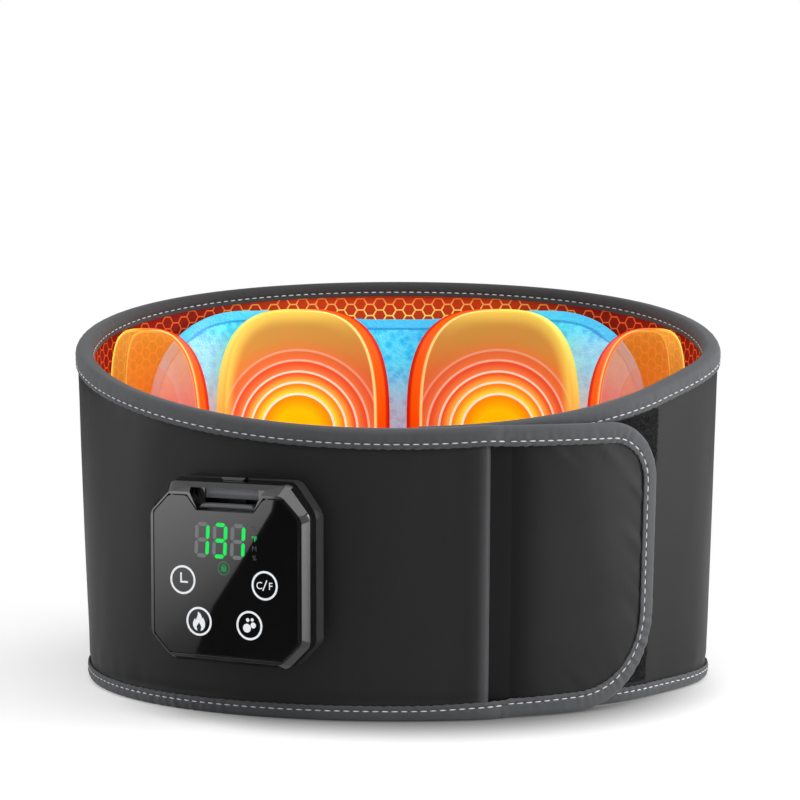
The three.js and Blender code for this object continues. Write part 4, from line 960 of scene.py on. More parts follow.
def pouch():
    """(along, up, distance from the edge, half the film's own thickness) at each point, and the faces."""
    turns = math.pi / 2 * np.arange(1, CORNER_STEPS + 1) / CORNER_STEPS
    ends = PACK_HALF - CORNER_LONG * (1 - np.sin(turns))
    ends[-1] = PACK_HALF - 0.02 * MM
    straight = stations(CORNER_LONG - PACK_HALF, PACK_HALF - CORNER_LONG, PACK_STEP)
    alongs = np.concatenate([-ends[::-1], straight, ends])
    low, high = pack_reach(alongs)
    rows = int((PACK_HIGH - PACK_LOW) / PACK_STEP)
    grid, ups = sheet_grid(alongs, lambda a: low, lambda a: high, np.linspace(0, 1, rows))
    steep = np.gradient(high, alongs)[:, None]
    upright = np.minimum(ups - low[:, None], high[:, None] - ups) / np.sqrt(1 + np.minimum(steep ** 2, 400))
    inset = np.minimum(upright, PACK_HALF - np.abs(grid))
    return grid, ups, inset, WELD_THICK / 2 + 0.4 * MM * ease(inset, WELD, 5 * MM), slab_faces(len(alongs), rows)


def blown(grid, ups, inset, half, faces):
    """How thick the pouch is on each side of its middle, by cloth simulation with the weld held."""
    film = piece("film_to_blow", [np.stack([grid, side * half, ups], -1) for side in (1, -1)], faces)
    held = film.vertex_groups.new(name="weld")
    held.add(np.nonzero(np.tile(inset.ravel(), 2) < WELD)[0].tolist(), 1.0, "REPLACE")
    cloth = film.modifiers.new("cloth", "CLOTH")
    for key, value in (("vertex_group_mass", "weld"), ("quality", 6), ("tension_stiffness", 12),
                       ("compression_stiffness", 12), ("use_pressure", True), ("uniform_pressure_force", 4)):
        setattr(cloth.settings, key, value)
    cloth.settings.effector_weights.gravity = 0
    cloth.collision_settings.use_collision = False
    scene = bpy.context.scene
    for step in range(1, 21):
        scene.frame_set(step)
    settled = film.evaluated_get(bpy.context.evaluated_depsgraph_get())
    moved = np.empty(grid.size * 6)
    settled.data.vertices.foreach_get("co", moved)
    scene.frame_set(1)
    bpy.data.objects.remove(film)
    return np.abs(moved.reshape(2, *grid.shape, 3)[..., 1])


# %% Gel pack: laid into the belt
def make_gel():
    # The gel carries a painted glow by its emission.
    look = Finish("cold_gel", Coat_Weight=0.2, Coat_Roughness=0.12, Specular_IOR_Level=0.25, Alpha=0.9,
                  Emission_Strength=0.42)
    shards, grains = look.cells(230), look.cells(760)
    weld = look.attribute("weld")
    gel = look.mix(look.span(shards, 0.1, 0.75), (18, 190, 246), (84, 224, 254))
    gel = look.mix(look.span(grains, 0.55, 0.95, 0, 0.22), gel, (190, 232, 250))
    gel = look.mix(look.span(look.noise(70, 4), 0.5, 0.75, 0, 0.4), gel, (10, 150, 232))
    frosted = look.times(look.span(look.aside(), 0.085, 0.1), look.span(look.axis("Z"), 0.178, 0.160, 0, 0.42))
    gel = look.mix(frosted, gel, (204, 218, 228))
    # The pads' glow in the picture warms the pack's lower half.
    gel = look.mix(look.span(look.axis("Z"), 0.158, 0.122, 0, 0.4), gel, (250, 130, 110))
    groove = look.times(look.span(weld, 0.02, 0.4), look.span(weld, 0.98, 0.6, 0, 0.75))
    colour = look.mix(groove, look.mix(look.span(weld, 0.35, 0.65), gel, (70, 200, 246)), (14, 128, 204))
    return look.close(colour, look.span(shards, 0, 0.8, 0.12, 0.35), look.plus(look.times(shards, 1.2), grains),
                      0.0006, 0.4, glowing=True)


grid, ups, inset, half, pack_faces = pouch()
most = PACK_THICK / 2
sides = blown(grid, ups, inset, half, pack_faces)
print("pouch blown to", round(float(sides.max()) * 2000, 2), "mm before the cap")
sides = half + (most - 0.15 * MM - half) * (1 - np.exp(-np.maximum(sides - half, 0) / (1.2 * MM)))
lumps = ripple(grid + 0.4 * ups, 9 * MM, 5.1) * ripple(ups - 0.3 * grid, 8 * MM, 2.6) * ease(inset, WELD, 6 * MM)
outs = [PACK_FACE - most + way * np.minimum(side + 0.12 * MM * lumps, most) for way, side in zip((1, -1), sides)]
gel_pack = piece("gel_pack", [bend(SPINE + grid, out, ups, True) for out in outs], pack_faces, make_gel(), 70)
weld_share = np.clip(1 - (inset - WELD) / (1.2 * MM), 0, 1)
mark(gel_pack, "weld", [weld_share, weld_share])
wear(gel_pack, "cold_pack", "gel", "cold_pack")
print("gel pack", len(gel_pack.data.polygons), "faces")

# %% [markdown]
# Each pad is a soft silicone cup, welded down round its foot, with a heat film and a vibration motor inside. A cup is
# a stack of rings: up the sloping wall, round a soft shoulder, and in to a pole at the middle of the face, and then
# back down the inside. The printed target of warm rings is drawn by the finish, from each point's distance to the
# pad's middle, which the mesh carries as an attribute.

# %% Pad finish
# Each printed ring: its radius, the strength and colour of the glow outside it, and the strength of its line.
RINGS = ((0.207, 1, (255, 226, 70), 1), (0.272, 0.85, (252, 196, 80), 0.9), (0.333, 0.5, (246, 164, 90), 0.7),
         (0.396, 0.35, (246, 164, 90), 0.4), (0.453, 0.15, (246, 164, 90), 0.22))
TARGET = ((0.0, (255, 190, 0)), (0.12, (255, 200, 0)), (0.17, (254, 166, 0)), (0.2, (250, 138, 4)),
          (0.21, (248, 150, 14)), (0.27, (244, 132, 16)), (0.28, (238, 74, 26)), (0.41, (226, 78, 42)),
          (0.47, (222, 92, 54)))


def printed_target(look, radius, face):
    face = look.mix(look.span(radius, 0.53, 0.38), face, look.ramp(radius, TARGET))
    for ring_radius, glow_share, glow_colour, line_share in RINGS:
        away = look.math("ABSOLUTE", look.math("SUBTRACT", radius, ring_radius))
        glow = look.times(look.span(radius, ring_radius + 0.058, ring_radius, 0, glow_share),
                          look.span(radius, ring_radius - 0.003, ring_radius))
        face = look.mix(glow, face, glow_colour)
        face = look.mix(look.span(away, 0.0085, 0.0035, 0, line_share), face, (255, 246, 226))
    return face


def make_silicone(name, inner):
    # The silicone carries a painted glow by its emission, which takes the whole painted colour of the cup.
    look = Finish(name, Coat_Weight=0.05, Coat_Roughness=0.3, Specular_IOR_Level=0.1, Emission_Strength=0.4)
    across, height, wall = look.node("ShaderNodeSeparateXYZ", Vector=look.attribute("pad_place", "Vector")).outputs
    edge = look.attribute("pad_edge")
    from_middle = look.node("ShaderNodeCombineXYZ", X=look.times(across, 0.89), Y=height)
    radius = look.node("ShaderNodeVectorMath", {"operation": "LENGTH"}, _0=from_middle).outputs["Value"]
    cloudy = look.noise(45, 4)
    spine_colour, plain_colour, top_colour = (((222, 66, 46), (240, 130, 44), (190, 150, 66)) if inner else
                                              ((226, 60, 24), (236, 132, 22), (238, 156, 40)))
    face = look.mix(look.span(height, 0.12, 0.6),
                    look.mix(look.span(across, -0.34, 0.3), spine_colour, plain_colour), top_colour)
    face = look.mix(look.times(cloudy, 0.3), face, (240, 116, 60))
    if inner:
        face = printed_target(look, radius, face)
    warm_side = look.span(look.plus(look.times(across, 0.9), height), 0.15, 0.6)
    yellow = look.mix(look.span(height, -0.4, 0.35), (238, 128, 24), (246, 224, 96))
    face = look.mix(look.times(look.span(edge, 0.075, 0.0, 0, 0.8 if inner else 0.2), warm_side), face, yellow)
    spine_side = look.span(across, 0.06, -0.2)
    cream = look.times(look.span(edge, 0.010, 0.005), look.span(spine_side, 0, 1, 0, 0.95))
    face = look.mix(cream, face, (255, 226, 140))
    plain_wall = look.mix(look.span(wall, *((0.1, 0.3) if inner else (0.72, 0.98))), face, yellow)
    spine_wall = look.mix(look.span(height, -0.5, 0.3), (226, 30, 0), (244, 92, 0))
    side = look.mix(spine_side, plain_wall, spine_wall)
    side = look.mix(look.times(look.span(wall, 0.66, 0.84, 0, 0.9), spine_side), side, (196, 8, 0))
    alpha = 0.95
    if not inner:
        spine_solid = look.times(look.span(wall, 0.03, 0.2), spine_side)
        wall_solid = look.math("MAXIMUM", spine_solid, look.span(wall, 0.8, 1.0, 0, 0.8))
        rim_line = look.times(look.span(edge, 0.02, 0.003, 0, 0.8), look.span(wall, 0.06, 0.02))
        solid = look.math("MAXIMUM", wall_solid, look.math("MAXIMUM", rim_line, look.span(radius, 0.3, 0.2)))
        alpha = look.span(solid, 0, 1, 0.37, 0.93)
    look.feed(look.shader, {"Alpha": alpha})
    return look.close(look.mix(look.span(wall, 0.04, 0.16), face, side), look.span(cloudy, 0.3, 0.7, 0.32, 0.45),
                      look.noise(900, 2), 0.00004, 0.35, glowing=True)


# %% Pad cups
PAD_BACK, PAD_FACE, PAD_WALL = -11.2 * MM, -19.2 * MM, 1.4 * MM
PAD_POWER, PLAIN_SLOPE, PAD_FACE_HEIGHT = 3.0, 0.6 * MM, 135 * MM
PAD_POINTS = 96
# (share of the wall's slope, inset in mm, lift in mm) round the soft shoulder.
SHOULDER = ((0.14, 0.02, 0.95), (0.07, 0.1, 0.5), (0.02, 0.3, 0.2), (0, 0.6, 0.06), (0, 1.1, 0))
# (from the spine line, width, slope of the wall on the spine's side, height of the middle)
INNER_PAD = (62.2 * MM, 96.9 * MM, 8.8 * MM, 116.8 * MM)
OUTER_PAD = (174.8 * MM, 92 * MM, 13.2 * MM, 107.5 * MM)


def pad_ring(side, place, share, inset, size):
    """One ring of a pad as (along, up, across the pad, up the pad)."""
    from_spine, width, slope, height = place
    turn = np.arange(PAD_POINTS) / PAD_POINTS * 2 * math.pi
    spine_half, plain_half = (width / 2 + lean * share - inset for lean in (slope, PLAIN_SLOPE))
    half, shift = (spine_half + plain_half) / 2, (plain_half - spine_half) / 2
    across = (shift + half * powered(np.cos(turn), 2 / PAD_POWER)) * size
    rise = (PAD_FACE_HEIGHT / 2 + PLAIN_SLOPE * share - inset) * powered(np.sin(turn), 2 / PAD_POWER) * size
    return SPINE + side * (from_spine + across), height + rise, across, rise


def pad_cup(name, side, place, finish):
    outer = [(1 - k / 9, 0, PAD_BACK + (PAD_FACE - PAD_BACK) * k / 9 * 0.86, 1) for k in range(8)]
    outer += [(share, inset * MM, PAD_FACE + lift * MM, 1) for share, inset, lift in SHOULDER]
    outer += [(0, 1.1 * MM, PAD_FACE, size) for size in np.linspace(0.98, 0.06, 28)]
    inner = [(share, inset + PAD_WALL, min(out + PAD_WALL, PAD_BACK), size) for share, inset, out, size in outer[::-1]]
    loops, last = outer + inner, len(outer) - 1
    points, marks, edges = [], [], []
    for share, inset, out, size in loops:
        along, up, across, rise = pad_ring(side, place, share, inset, size)
        points.append(bend(along, out, up, True))
        marks.append(np.stack([across * 10, rise * 10, np.full_like(across, share)], -1))
        away = inset + (1 - size) * (place[1] / 2 - inset)
        edges.append(np.full_like(across, max(away, 0) * 10 if share < 0.05 else 0.0))
    faces = tube_faces(len(loops), PAD_POINTS, closed=True)
    # The tube joins the outside's last ring to the inside's first. A fan round a pole closes each instead.
    del faces[last * PAD_POINTS:(last + 1) * PAD_POINTS]
    for level in (last, last + 1):
        pole = len(points) * PAD_POINTS if level == last else len(loops) * PAD_POINTS + 1
        faces += [(level * PAD_POINTS + j, level * PAD_POINTS + (j + 1) % PAD_POINTS, pole) for j in range(PAD_POINTS)]
    poles = [bend(SPINE + side * place[0], loops[level][2], place[3], True) for level in (last, last + 1)]
    pad = piece(name, np.concatenate(points + [poles]), faces, finish, 50)
    mark(pad, "pad_place", np.concatenate(marks + [np.zeros((2, 3))]), "FLOAT_VECTOR")
    mark(pad, "pad_edge", np.concatenate(edges + [[0.45, 0.45]]))
    return pad


inner_silicone, outer_silicone = make_silicone("pad_silicone", True), make_silicone("pad_silicone_clear", False)
for name, side, place, finish in (
    ("outer_left", 1, OUTER_PAD, outer_silicone), ("inner_left", 1, INNER_PAD, inner_silicone),
    ("inner_right", -1, INNER_PAD, inner_silicone), ("outer_right", -1, OUTER_PAD, outer_silicone),
):
    pad = wear(pad_cup("pad_" + name, side, place, finish), "belt", "pad_silicone", "pad_shell_" + name)
    print(pad.name, len(pad.data.polygons), "faces")

# %% [markdown]
# The control pod is moulded plastic and glass, so its flats must stay flat and only its edges are soft. The CAD already
# holds every flat, bevel and pocket in its right place. A copy of each solid has its doubles merged, its flat faces
# joined, and its edges rounded with a narrow bevel, which gives every edge the thin line of light a moulding has.

# %% Pod finishes
def make_gloss(name, colour, rough):
    look = Finish(name, Coat_Weight=0.5, Coat_Roughness=0.05, Specular_IOR_Level=0.5)
    flow = look.noise(120, 2)
    return look.close(look.mix(flow, colour, tuple(v + 5 for v in colour)),
                      look.span(flow, 0.3, 0.7, rough, rough + 0.07),
                      look.plus(look.times(flow, 0.6), look.times(look.noise(3200, 1), 0.05)), 0.00002, 0.3)


def make_satin(name, colour, spread, rough, grain_size):
    look = Finish(name, Specular_IOR_Level=0.4)
    grain = look.noise(grain_size, 3)
    pale = tuple(v + spread for v in colour)
    return look.close(look.mix(look.noise(grain_size / 20, 3), look.mix(grain, colour, pale), pale),
                      look.span(grain, 0.3, 0.7, rough, rough + 0.15), grain, 0.00004, 0.4)


def make_glass():
    look = Finish("panel_glass", Specular_IOR_Level=0.5)
    smear = look.noise(40, 3)
    return look.close(look.mix(smear, (4, 4, 5), (9, 9, 10)), look.span(smear, 0.3, 0.7, 0.03, 0.06),
                      look.noise(18, 1), 0.00001, 0.1)


pod_gloss = make_gloss("pod_gloss", (9, 9, 10), 0.12)
pod_rear = make_satin("pod_rear_shell", (22, 22, 24), 8, 0.42, 2200)
dock_plastic = make_satin("dock_plastic", (20, 20, 21), 8, 0.5, 1800)
# The release bar and the lip in the notch are painted pale grey: a painted reflection of the top light on the bar and a
# painted highlight along the lip.
bar_painted_reflection = make_satin("release_satin", (120, 121, 124), 16, 0.36, 2600)
lip_painted_highlight = make_satin("pocket_lip", (74, 75, 78), 14, 0.34, 2600)
glass_black = make_glass()

# %% The pod's own axes
POD_ORIGIN = np.array([-70.53, -102.642, 68.0]) * MM
POD_ACROSS, POD_UP, POD_OUT = np.array([[0.90631, -0.42262, 0], [0, 0, 1], [-0.42262, -0.90631, 0]])
PANEL_OUT, PANEL_GROW = 17.0, 0.035


def fuller(across, up, out):
    """The pod's moulding is a little fuller than its solid: the panel nearly fills its front, and its back swells up
    behind the top. Everything is in millimetres on the pod's own axes."""
    grow = PANEL_GROW * np.clip((out - 13) / 4, 0, 1)
    return across * (1 + grow), up * (1 + grow * 0.9) + 3.4 * ease(up, 27, 11) * (1 - ease(out, 10, 6.5)), out


def pod_point(across, up, out):
    return POD_ORIGIN + (POD_ACROSS * across + POD_OUT * out + POD_UP * up) * MM


def on_pod(point):
    away = (np.array(point) - POD_ORIGIN) / MM
    return float(away @ POD_ACROSS), float(away @ POD_UP), float(away @ POD_OUT)


# %% Rounded copies of the pod's mouldings
LIP_ACROSS, LIP_UP, LIP_GROW = 36.8, 35.8, 0.6


def outline_corner(edge):
    """An upright edge at a cut corner of the pod's outline, of the kind that gets a wide round."""
    ends = [on_pod(v.co) for v in edge.verts]
    far = min(max(abs(across) / 41, abs(up) / 40) for across, up, _ in ends) > 0.8
    rise = abs(ends[0][2] - ends[1][2])
    return far and rise > max(0.6 * math.dist(*ends), 0.9) and 30 < math.degrees(edge.calc_face_angle(0)) < 62


def keep_flats(made, least=10 * MM * MM):
    """Broad flats are shaded flat, and the narrow faces of the rounds smooth. Faces are gathered plane by plane."""
    planes = {}
    for face in made.faces:
        away = face.normal.dot(face.calc_center_median())
        planes.setdefault((*(round(v, 2) for v in face.normal), round(away / (0.1 * MM))), []).append(face)
    for faces in planes.values():
        broad = sum(face.calc_area() for face in faces) > least
        for face in faces:
            face.smooth = not broad
    for edge in made.edges:
        edge.smooth = len(edge.link_faces) == 2 and edge.calc_face_angle(0) < math.radians(30)


def moulded(node, name, finish, width, body, slot_name, segments=2, corner=0.0):
    made = bmesh.new()
    made.from_mesh(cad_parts[node].data)
    bmesh.ops.remove_doubles(made, verts=made.verts, dist=0.00001)
    bmesh.ops.dissolve_limit(made, angle_limit=math.radians(2), verts=made.verts, edges=made.edges)
    bmesh.ops.recalc_face_normals(made, faces=made.faces)
    if corner:
        for vertex in made.verts:
            across, up, out = on_pod(vertex.co)
            wide, tall = abs(across) > LIP_ACROSS, abs(up) > LIP_UP
            if out > PANEL_OUT - 0.1 and (wide or tall):
                across, up = across + LIP_GROW * np.sign(across) * wide, up + LIP_GROW * np.sign(up) * tall
                vertex.co = pod_point(across, up, out)
        round_off = [e for e in made.edges if len(e.link_faces) == 2 and e.is_convex and outline_corner(e)]
        bmesh.ops.bevel(made, geom=round_off, offset=corner, segments=8, profile=0.5, affect="EDGES")
        print(name, "wide corners:", len(round_off))
    edges = [e for e in made.edges if len(e.link_faces) == 2 and e.calc_face_angle(0) > math.radians(22)]
    bmesh.ops.bevel(made, geom=edges, offset=width, segments=segments, profile=0.5, affect="EDGES", clamp_overlap=True)
    if corner:
        for vertex in made.verts:
            vertex.co = pod_point(*fuller(*on_pod(vertex.co)))
    bmesh.ops.triangulate(made, faces=[f for f in made.faces if len(f.verts) > 4])
    bmesh.ops.recalc_face_normals(made, faces=made.faces)
    keep_flats(made)
    wear(settled(made, name, finish), body, slot_name, node)


def settled(made, name, finish):
    """An object of a mesh that was built in bmesh."""
    mesh = bpy.data.meshes.new(name)
    made.to_mesh(mesh)
    made.free()
    mesh.materials.append(finish)
    print(name, len(mesh.polygons), "faces")
    return show(name, mesh)


# The lip round the glass is widened first, but rounds much wider than these would still turn it inside out.
moulded("front_bezel", "pod_bezel", pod_gloss, 0.14 * MM, "pod", "pod_plastic", 3, 1.9 * MM)
moulded("back_housing", "pod_rear", pod_rear, 0.3 * MM, "pod", "pod_plastic", 2, 1.9 * MM)
moulded("glass_panel", "pod_glass", glass_black, 0.2 * MM, "pod", "panel_glass", 3, 1.4 * MM)
moulded("dock_saddle", "pod_dock", dock_plastic, 0.3 * MM, "belt", "dock_plastic")

# %% [markdown]
# Three small mouldings sit in the notch at the pod's top: the scooped release bar, the round lip along the notch's
# foot, and a small tab on the top edge. Each is one section swept across, so rows of points and a tube are enough.

# %% Release bar, pocket lip and top tab
FULL_TURN = np.linspace(0, 2 * math.pi, 17)[:-1]


def swept(name, reach, section, finish, body, bow=0.0, *nodes):
    """section is (up, out, how much of the end's slant it takes) in mm. The bar's ends bow down by bow."""
    loops = [[pod_point(share * (reach - slant), up - abs(share) ** 6 * bow, out) for up, out, slant in section]
             for share in np.linspace(-1, 1, 25)]
    wear(piece(name, loops, tube_faces(25, len(section)), finish), body, "pod_plastic", *nodes)


scoop = [(39.6 - 4.6 * k, 11.4 - 1.9 * math.sin(math.pi * k) ** 0.8 - 0.5 * k, 2.2 * k) for k in np.arange(11) / 10]
swept("pod_release", 15.6, [(39.9, 10.7, 0.0), *scoop, (34.6, 10.3, 2.3), (34.6, 8.4, 2.3), (39.9, 8.4, 0.0)],
      bar_painted_reflection, "release", 0.0, "release_bar")
swept("pocket_lip", 13.6, [(31.6 + 1.25 * math.sin(t), 13.9 + 1.5 * math.cos(t), 0.9 * math.sin(t)) for t in FULL_TURN],
      lip_painted_highlight, "pod", 0.3)
swept("top_tab", 6.3, [(43.0, 5.0, 1.4), (43.0, 9.6, 1.4), (43.9, 9.2, 0.2), (44.5, 8.2, 0.0), (44.5, 5.6, 0.0)],
      pod_gloss, "pod")

# %% [markdown]
# The signs on the panel are printed and lit behind the glass, so they are flat shapes a few hundredths of a
# millimetre proud of it. A drawing plane on the pod's face takes each outline in millimetres across and up, and one
# helper closes it into a thin plate. Digits are built of seven bars, and the key signs of rings and strokes.

# %% Drawing on the pod's face
PRINT_THICK = 0.05


def panel_point(across, up, out):
    """A point of the panel's print, which grew with the panel."""
    return pod_point(across * (1 + PANEL_GROW), up * (1 + PANEL_GROW * 0.9), out)


def lit(name, colour, glow):
    look = Finish(name, Emission_Strength=glow, Specular_IOR_Level=0.2)
    cell = look.noise(1500, 2)
    shade = look.mix(cell, colour, tuple(max(v - 14, 0) for v in colour))
    look.feed(look.shader, {"Base Color": shade, "Emission Color": shade, "Roughness": look.span(cell, 0, 1, 0.4, 0.6)})
    return look.material


sign_white = lit("sign_white", (225, 228, 232), 0.35)
sign_green = lit("sign_green", (6, 208, 84), 0.62)
sign_ghost = lit("sign_ghost", (112, 114, 117), 0.3)
sign_faint = lit("sign_faint", (74, 76, 79), 0.2)
sign_dim_green = lit("sign_dim_green", (16, 132, 66), 0.4)


def plates(name, outlines, finish, lift=0.0):
    """Thin plates from convex outlines in millimetres on the pod's face, joined in one piece."""
    points, faces = [], []
    for outline in outlines:
        start, n = len(points), len(outline)
        points += [panel_point(a, u, PANEL_OUT + out + lift) for out in (PRINT_THICK, -0.02) for a, u in outline]
        faces += [tuple(start + i for i in range(n)), tuple(start + n + i for i in range(n))[::-1]]
        faces += [(start + i, start + n + i, start + n + (i + 1) % n, start + (i + 1) % n) for i in range(n)]
    wear(piece(name, points, faces, finish, 20), "pod", "panel_glass")


def stroke(a, b, width):
    """A straight bar between two points, with its ends cut square."""
    a, b = np.array(a, float), np.array(b, float)
    way = (b - a) / np.linalg.norm(b - a)
    side = np.array([-way[1], way[0]]) * width / 2
    return [a + side, a - side, b - side, b + side]


def dot(centre, radius, turns):
    return [(centre[0] + radius * math.cos(t), centre[1] + radius * math.sin(t)) for t in turns]


def ring(centre, radius, width, count=56, sweep=2 * math.pi):
    """Small quads round an arc of that outer radius."""
    turns = [(sweep * i / count, sweep * (i + 1) / count) for i in range(count)]
    return [dot(centre, radius, pair) + dot(centre, radius - width, pair[::-1]) for pair in turns]


# %% Keys and their signs
KEYS = {"time": (-21.3, -2.5), "units": (19.6, -2.5), "heat": (-13.2, -20.4), "massage": (12.0, -20.4)}
KEY_RADIUS, KEY_LINE = 6.4, 0.95
FLAME = [(-0.5, 4.3), (0.7, 3.4), (1.4, 2.2), (1.5, 1.1), (2.0, 1.9), (2.7, 0.6), (3.1, -0.9), (2.9, -2.4),
         (2.0, -3.6), (0.8, -4.2), (0.9, -3.4), (1.2, -2.5), (0.7, -1.5), (0.0, -0.4), (-0.7, -1.5), (-1.3, -2.5),
         (-1.0, -3.4), (-0.8, -4.2), (-2.1, -3.6), (-3.0, -2.3), (-3.1, -0.8), (-2.5, 0.5), (-2.0, 1.3), (-1.7, 0.4),
         (-1.1, 1.6), (-0.6, 2.8)]
DOTS = ((-1.2, -1.2, 1.95), (1.9, 0.2, 1.3), (-0.8, 2.4, 0.85), (1.4, 2.6, 0.75))
key_shapes = []
for centre in KEYS.values():
    key_shapes += ring(centre, KEY_RADIUS, KEY_LINE)
cx, cy = KEYS["time"]
key_shapes += [stroke((cx - 0.9, cy + 3.2), (cx - 0.9, cy - 0.9), 0.8),
               stroke((cx - 1.3, cy - 0.9), (cx + 2.6, cy - 0.9), 0.8)]
cx, cy = KEYS["massage"]
key_shapes += [dot((cx + across, cy + rise), radius, np.arange(20) / 10 * math.pi) for across, rise, radius in DOTS]
cx, cy = KEYS["heat"]
key_shapes += [[(cx + FLAME[i][0], cy + FLAME[i][1]) for i in corners]
               for corners in tessellate_polygon([[Vector((a, u, 0)) for a, u in FLAME]])]
plates("key_signs", key_shapes, sign_white)

# %% Seven-bar digits
DIGIT_WIDTH, DIGIT_HEIGHT, BAR, BAR_GAP, DIGIT_LEAN, DIGIT_MIDDLE = 7.2, 15.6, 1.75, 0.3, 0.05, 15.8
LIT_BARS = {-11.4: "bc", -2.5: "abgcd", 6.4: "bc"}
BARS = {"a": (0, 1), "g": (0, 0), "d": (0, -1), "f": (-1, 0.5), "b": (1, 0.5), "e": (-1, -0.5), "c": (1, -0.5)}


def bar_outline(centre, bar):
    side, level = BARS[bar]
    half = BAR / 2
    wide, tall = DIGIT_WIDTH / 2 - half, DIGIT_HEIGHT / 2 - half
    reach = (tall / 2 if side else wide) - BAR_GAP
    outline = [(-reach, 0), (half - reach, half), (reach - half, half), (reach, 0), (reach - half, -half),
               (half - reach, -half)]
    outline = [(level * tall + (a if side else u), side * wide + (u if side else a)) for a, u in outline]
    return [(centre + across + rise * DIGIT_LEAN, DIGIT_MIDDLE + rise) for rise, across in outline]


for name, shown, finish in (("digit_bars_lit", True, sign_green), ("digit_bars_off", False, sign_ghost)):
    plates(name, [bar_outline(centre, bar) for centre, on in LIT_BARS.items() for bar in BARS if (bar in on) == shown],
           finish)
lock = ring((-0.6, 3.8), 3.0, 0.3, 32) + ring((-0.6, 4.5), 1.0, 0.35, 10, math.pi)
plates("lock_sign", lock + [[(-1.9, 4.5), (-1.9, 2.4), (0.7, 2.4), (0.7, 4.5)]], sign_dim_green)


# %% Letters of the unit marks
def lettering(name, words, finish):
    """words are (text, across, up, height). Each becomes a flat mesh, and all of them one thin piece."""
    made = bmesh.new()
    for text, across, rise, height in words:
        curve = bpy.data.curves.new(name, "FONT")
        curve.body, curve.align_x, curve.size, curve.resolution_u = text, "CENTER", height * 1.38, 3
        letters = bpy.data.objects.new(name, curve)
        flat = bpy.data.meshes.new_from_object(letters)
        for vertex in flat.vertices:
            vertex.co = panel_point(across + vertex.co.x, rise + vertex.co.y, PANEL_OUT + PRINT_THICK)
        made.from_mesh(flat)
        bpy.data.objects.remove(letters)
        bpy.data.curves.remove(curve)
        bpy.data.meshes.remove(flat)
    bmesh.ops.remove_doubles(made, verts=made.verts, dist=0.000001)
    bmesh.ops.recalc_face_normals(made, faces=made.faces)
    if made.faces[0].normal.dot(Vector(POD_OUT)) < 0:
        bmesh.ops.reverse_faces(made, faces=made.faces)
    back = bmesh.ops.extrude_face_region(made, geom=made.faces[:])
    bmesh.ops.translate(made, verts=[v for v in back["geom"] if isinstance(v, bmesh.types.BMVert)],
                        vec=Vector(POD_OUT) * 0.00004)
    bmesh.ops.recalc_face_normals(made, faces=made.faces)
    wear(settled(made, name, finish), "pod", "panel_glass")


lettering("key_letters", [("C", 17.0, -4.1, 3.3), ("F", 22.5, -4.1, 3.3)], sign_white)
lettering("unit_marks", [("°C", 14.6, 20.6, 2.3), ("M", 14.6, 12.2, 2.3), ("%", 14.6, 8.2, 2.3)], sign_faint)
lettering("unit_mark_lit", [("°F", 14.6, 16.4, 2.3)], sign_green)
plates("unit_slash", [stroke((18.7, -4.7), (20.7, -0.1), 0.5)], sign_white, 0.01)

# %% [markdown]
# The pieces inside are seldom seen, but each keeps its CAD shape and gets the finish of the real thing: copper film,
# brushed steel, green board, foil cell and gold contacts.

# %% Inner finishes
def make_metal(name, colour, rough, brushed=900):
    look = Finish(name, Metallic=0.95)
    lines = look.noise(1.0, 3.0, look.scaled(brushed, brushed, brushed / 12))
    return look.close(look.mix(lines, colour, tuple(min(v + 16, 255) for v in colour)),
                      look.span(lines, 0.3, 0.7, rough, rough + 0.15), lines, 0.00001, 0.3)


def make_film():
    look = Finish("heating_film", Specular_IOR_Level=0.2, Alpha=0.14)
    tracks = look.wave("Z", 70)
    return look.close(look.mix(look.span(tracks, 0.55, 0.7), (214, 96, 30), (232, 150, 84)),
                      look.span(tracks, 0, 1, 0.35, 0.5), tracks, 0.00005, 0.4)


def make_board():
    look = Finish("circuit_board", Coat_Weight=0.3, Coat_Roughness=0.2)
    tracks = look.node("ShaderNodeTexBrick", Vector=look.scaled(160, 160, 160), Scale=1.0, Color1=(0.01, 0.12, 0.04),
                       Color2=(0.012, 0.16, 0.05), Mortar=(0.05, 0.26, 0.1))
    grain = look.noise(400, 2)
    return look.close(tracks, look.span(grain, 0.3, 0.7, 0.35, 0.5), grain, 0.00003, 0.4)


def make_ribbon():
    look = Finish("flat_cable", Specular_IOR_Level=0.4)
    cores = look.wave("Z", 320)
    return look.close(look.mix(cores, (132, 134, 138), (168, 170, 174)), look.span(cores, 0, 1, 0.5, 0.62),
                      cores, 0.00015, 0.6)


PADS = ["outer_left", "inner_left", "inner_right", "outer_right"]
INNER_FINISHES = [
    (make_film(), ["heat_film_" + pad for pad in PADS]),
    (make_metal("brushed_steel", (172, 174, 178), 0.28),
     ["charge_socket", *("motor_can_" + pad for pad in PADS), *(f"housing_screw_{i}" for i in (1, 2, 3, 4))]),
    (make_metal("heavy_alloy", (120, 118, 116), 0.4), ["motor_weight_" + pad for pad in PADS]),
    (make_metal("spring_steel", (190, 192, 196), 0.22, 1600),
     ["release_spring", *(f"touch_spring_{i}" for i in (1, 2, 3, 4))]),
    (make_metal("gold_contacts", (222, 172, 74), 0.2, 1400), ["dock_contacts", "pod_contacts"]),
    (make_metal("cell_foil", (196, 198, 202), 0.38, 300), ["battery_cell"]),
    (make_board(), ["control_board"]),
    (make_satin("display_frame", (44, 46, 50), 10, 0.4, 1500), ["display_module"]),
    (make_ribbon(), ["harness_ribbon"]),
]
for finish, names in INNER_FINISHES:
    for name in names:
        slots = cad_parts[name].data.materials
        if not slots:
            slots.append(finish)
        for i in range(len(slots)):
            slots[i] = finish
print("inner pieces finished:", sum(len(names) for _, names in INNER_FINISHES))
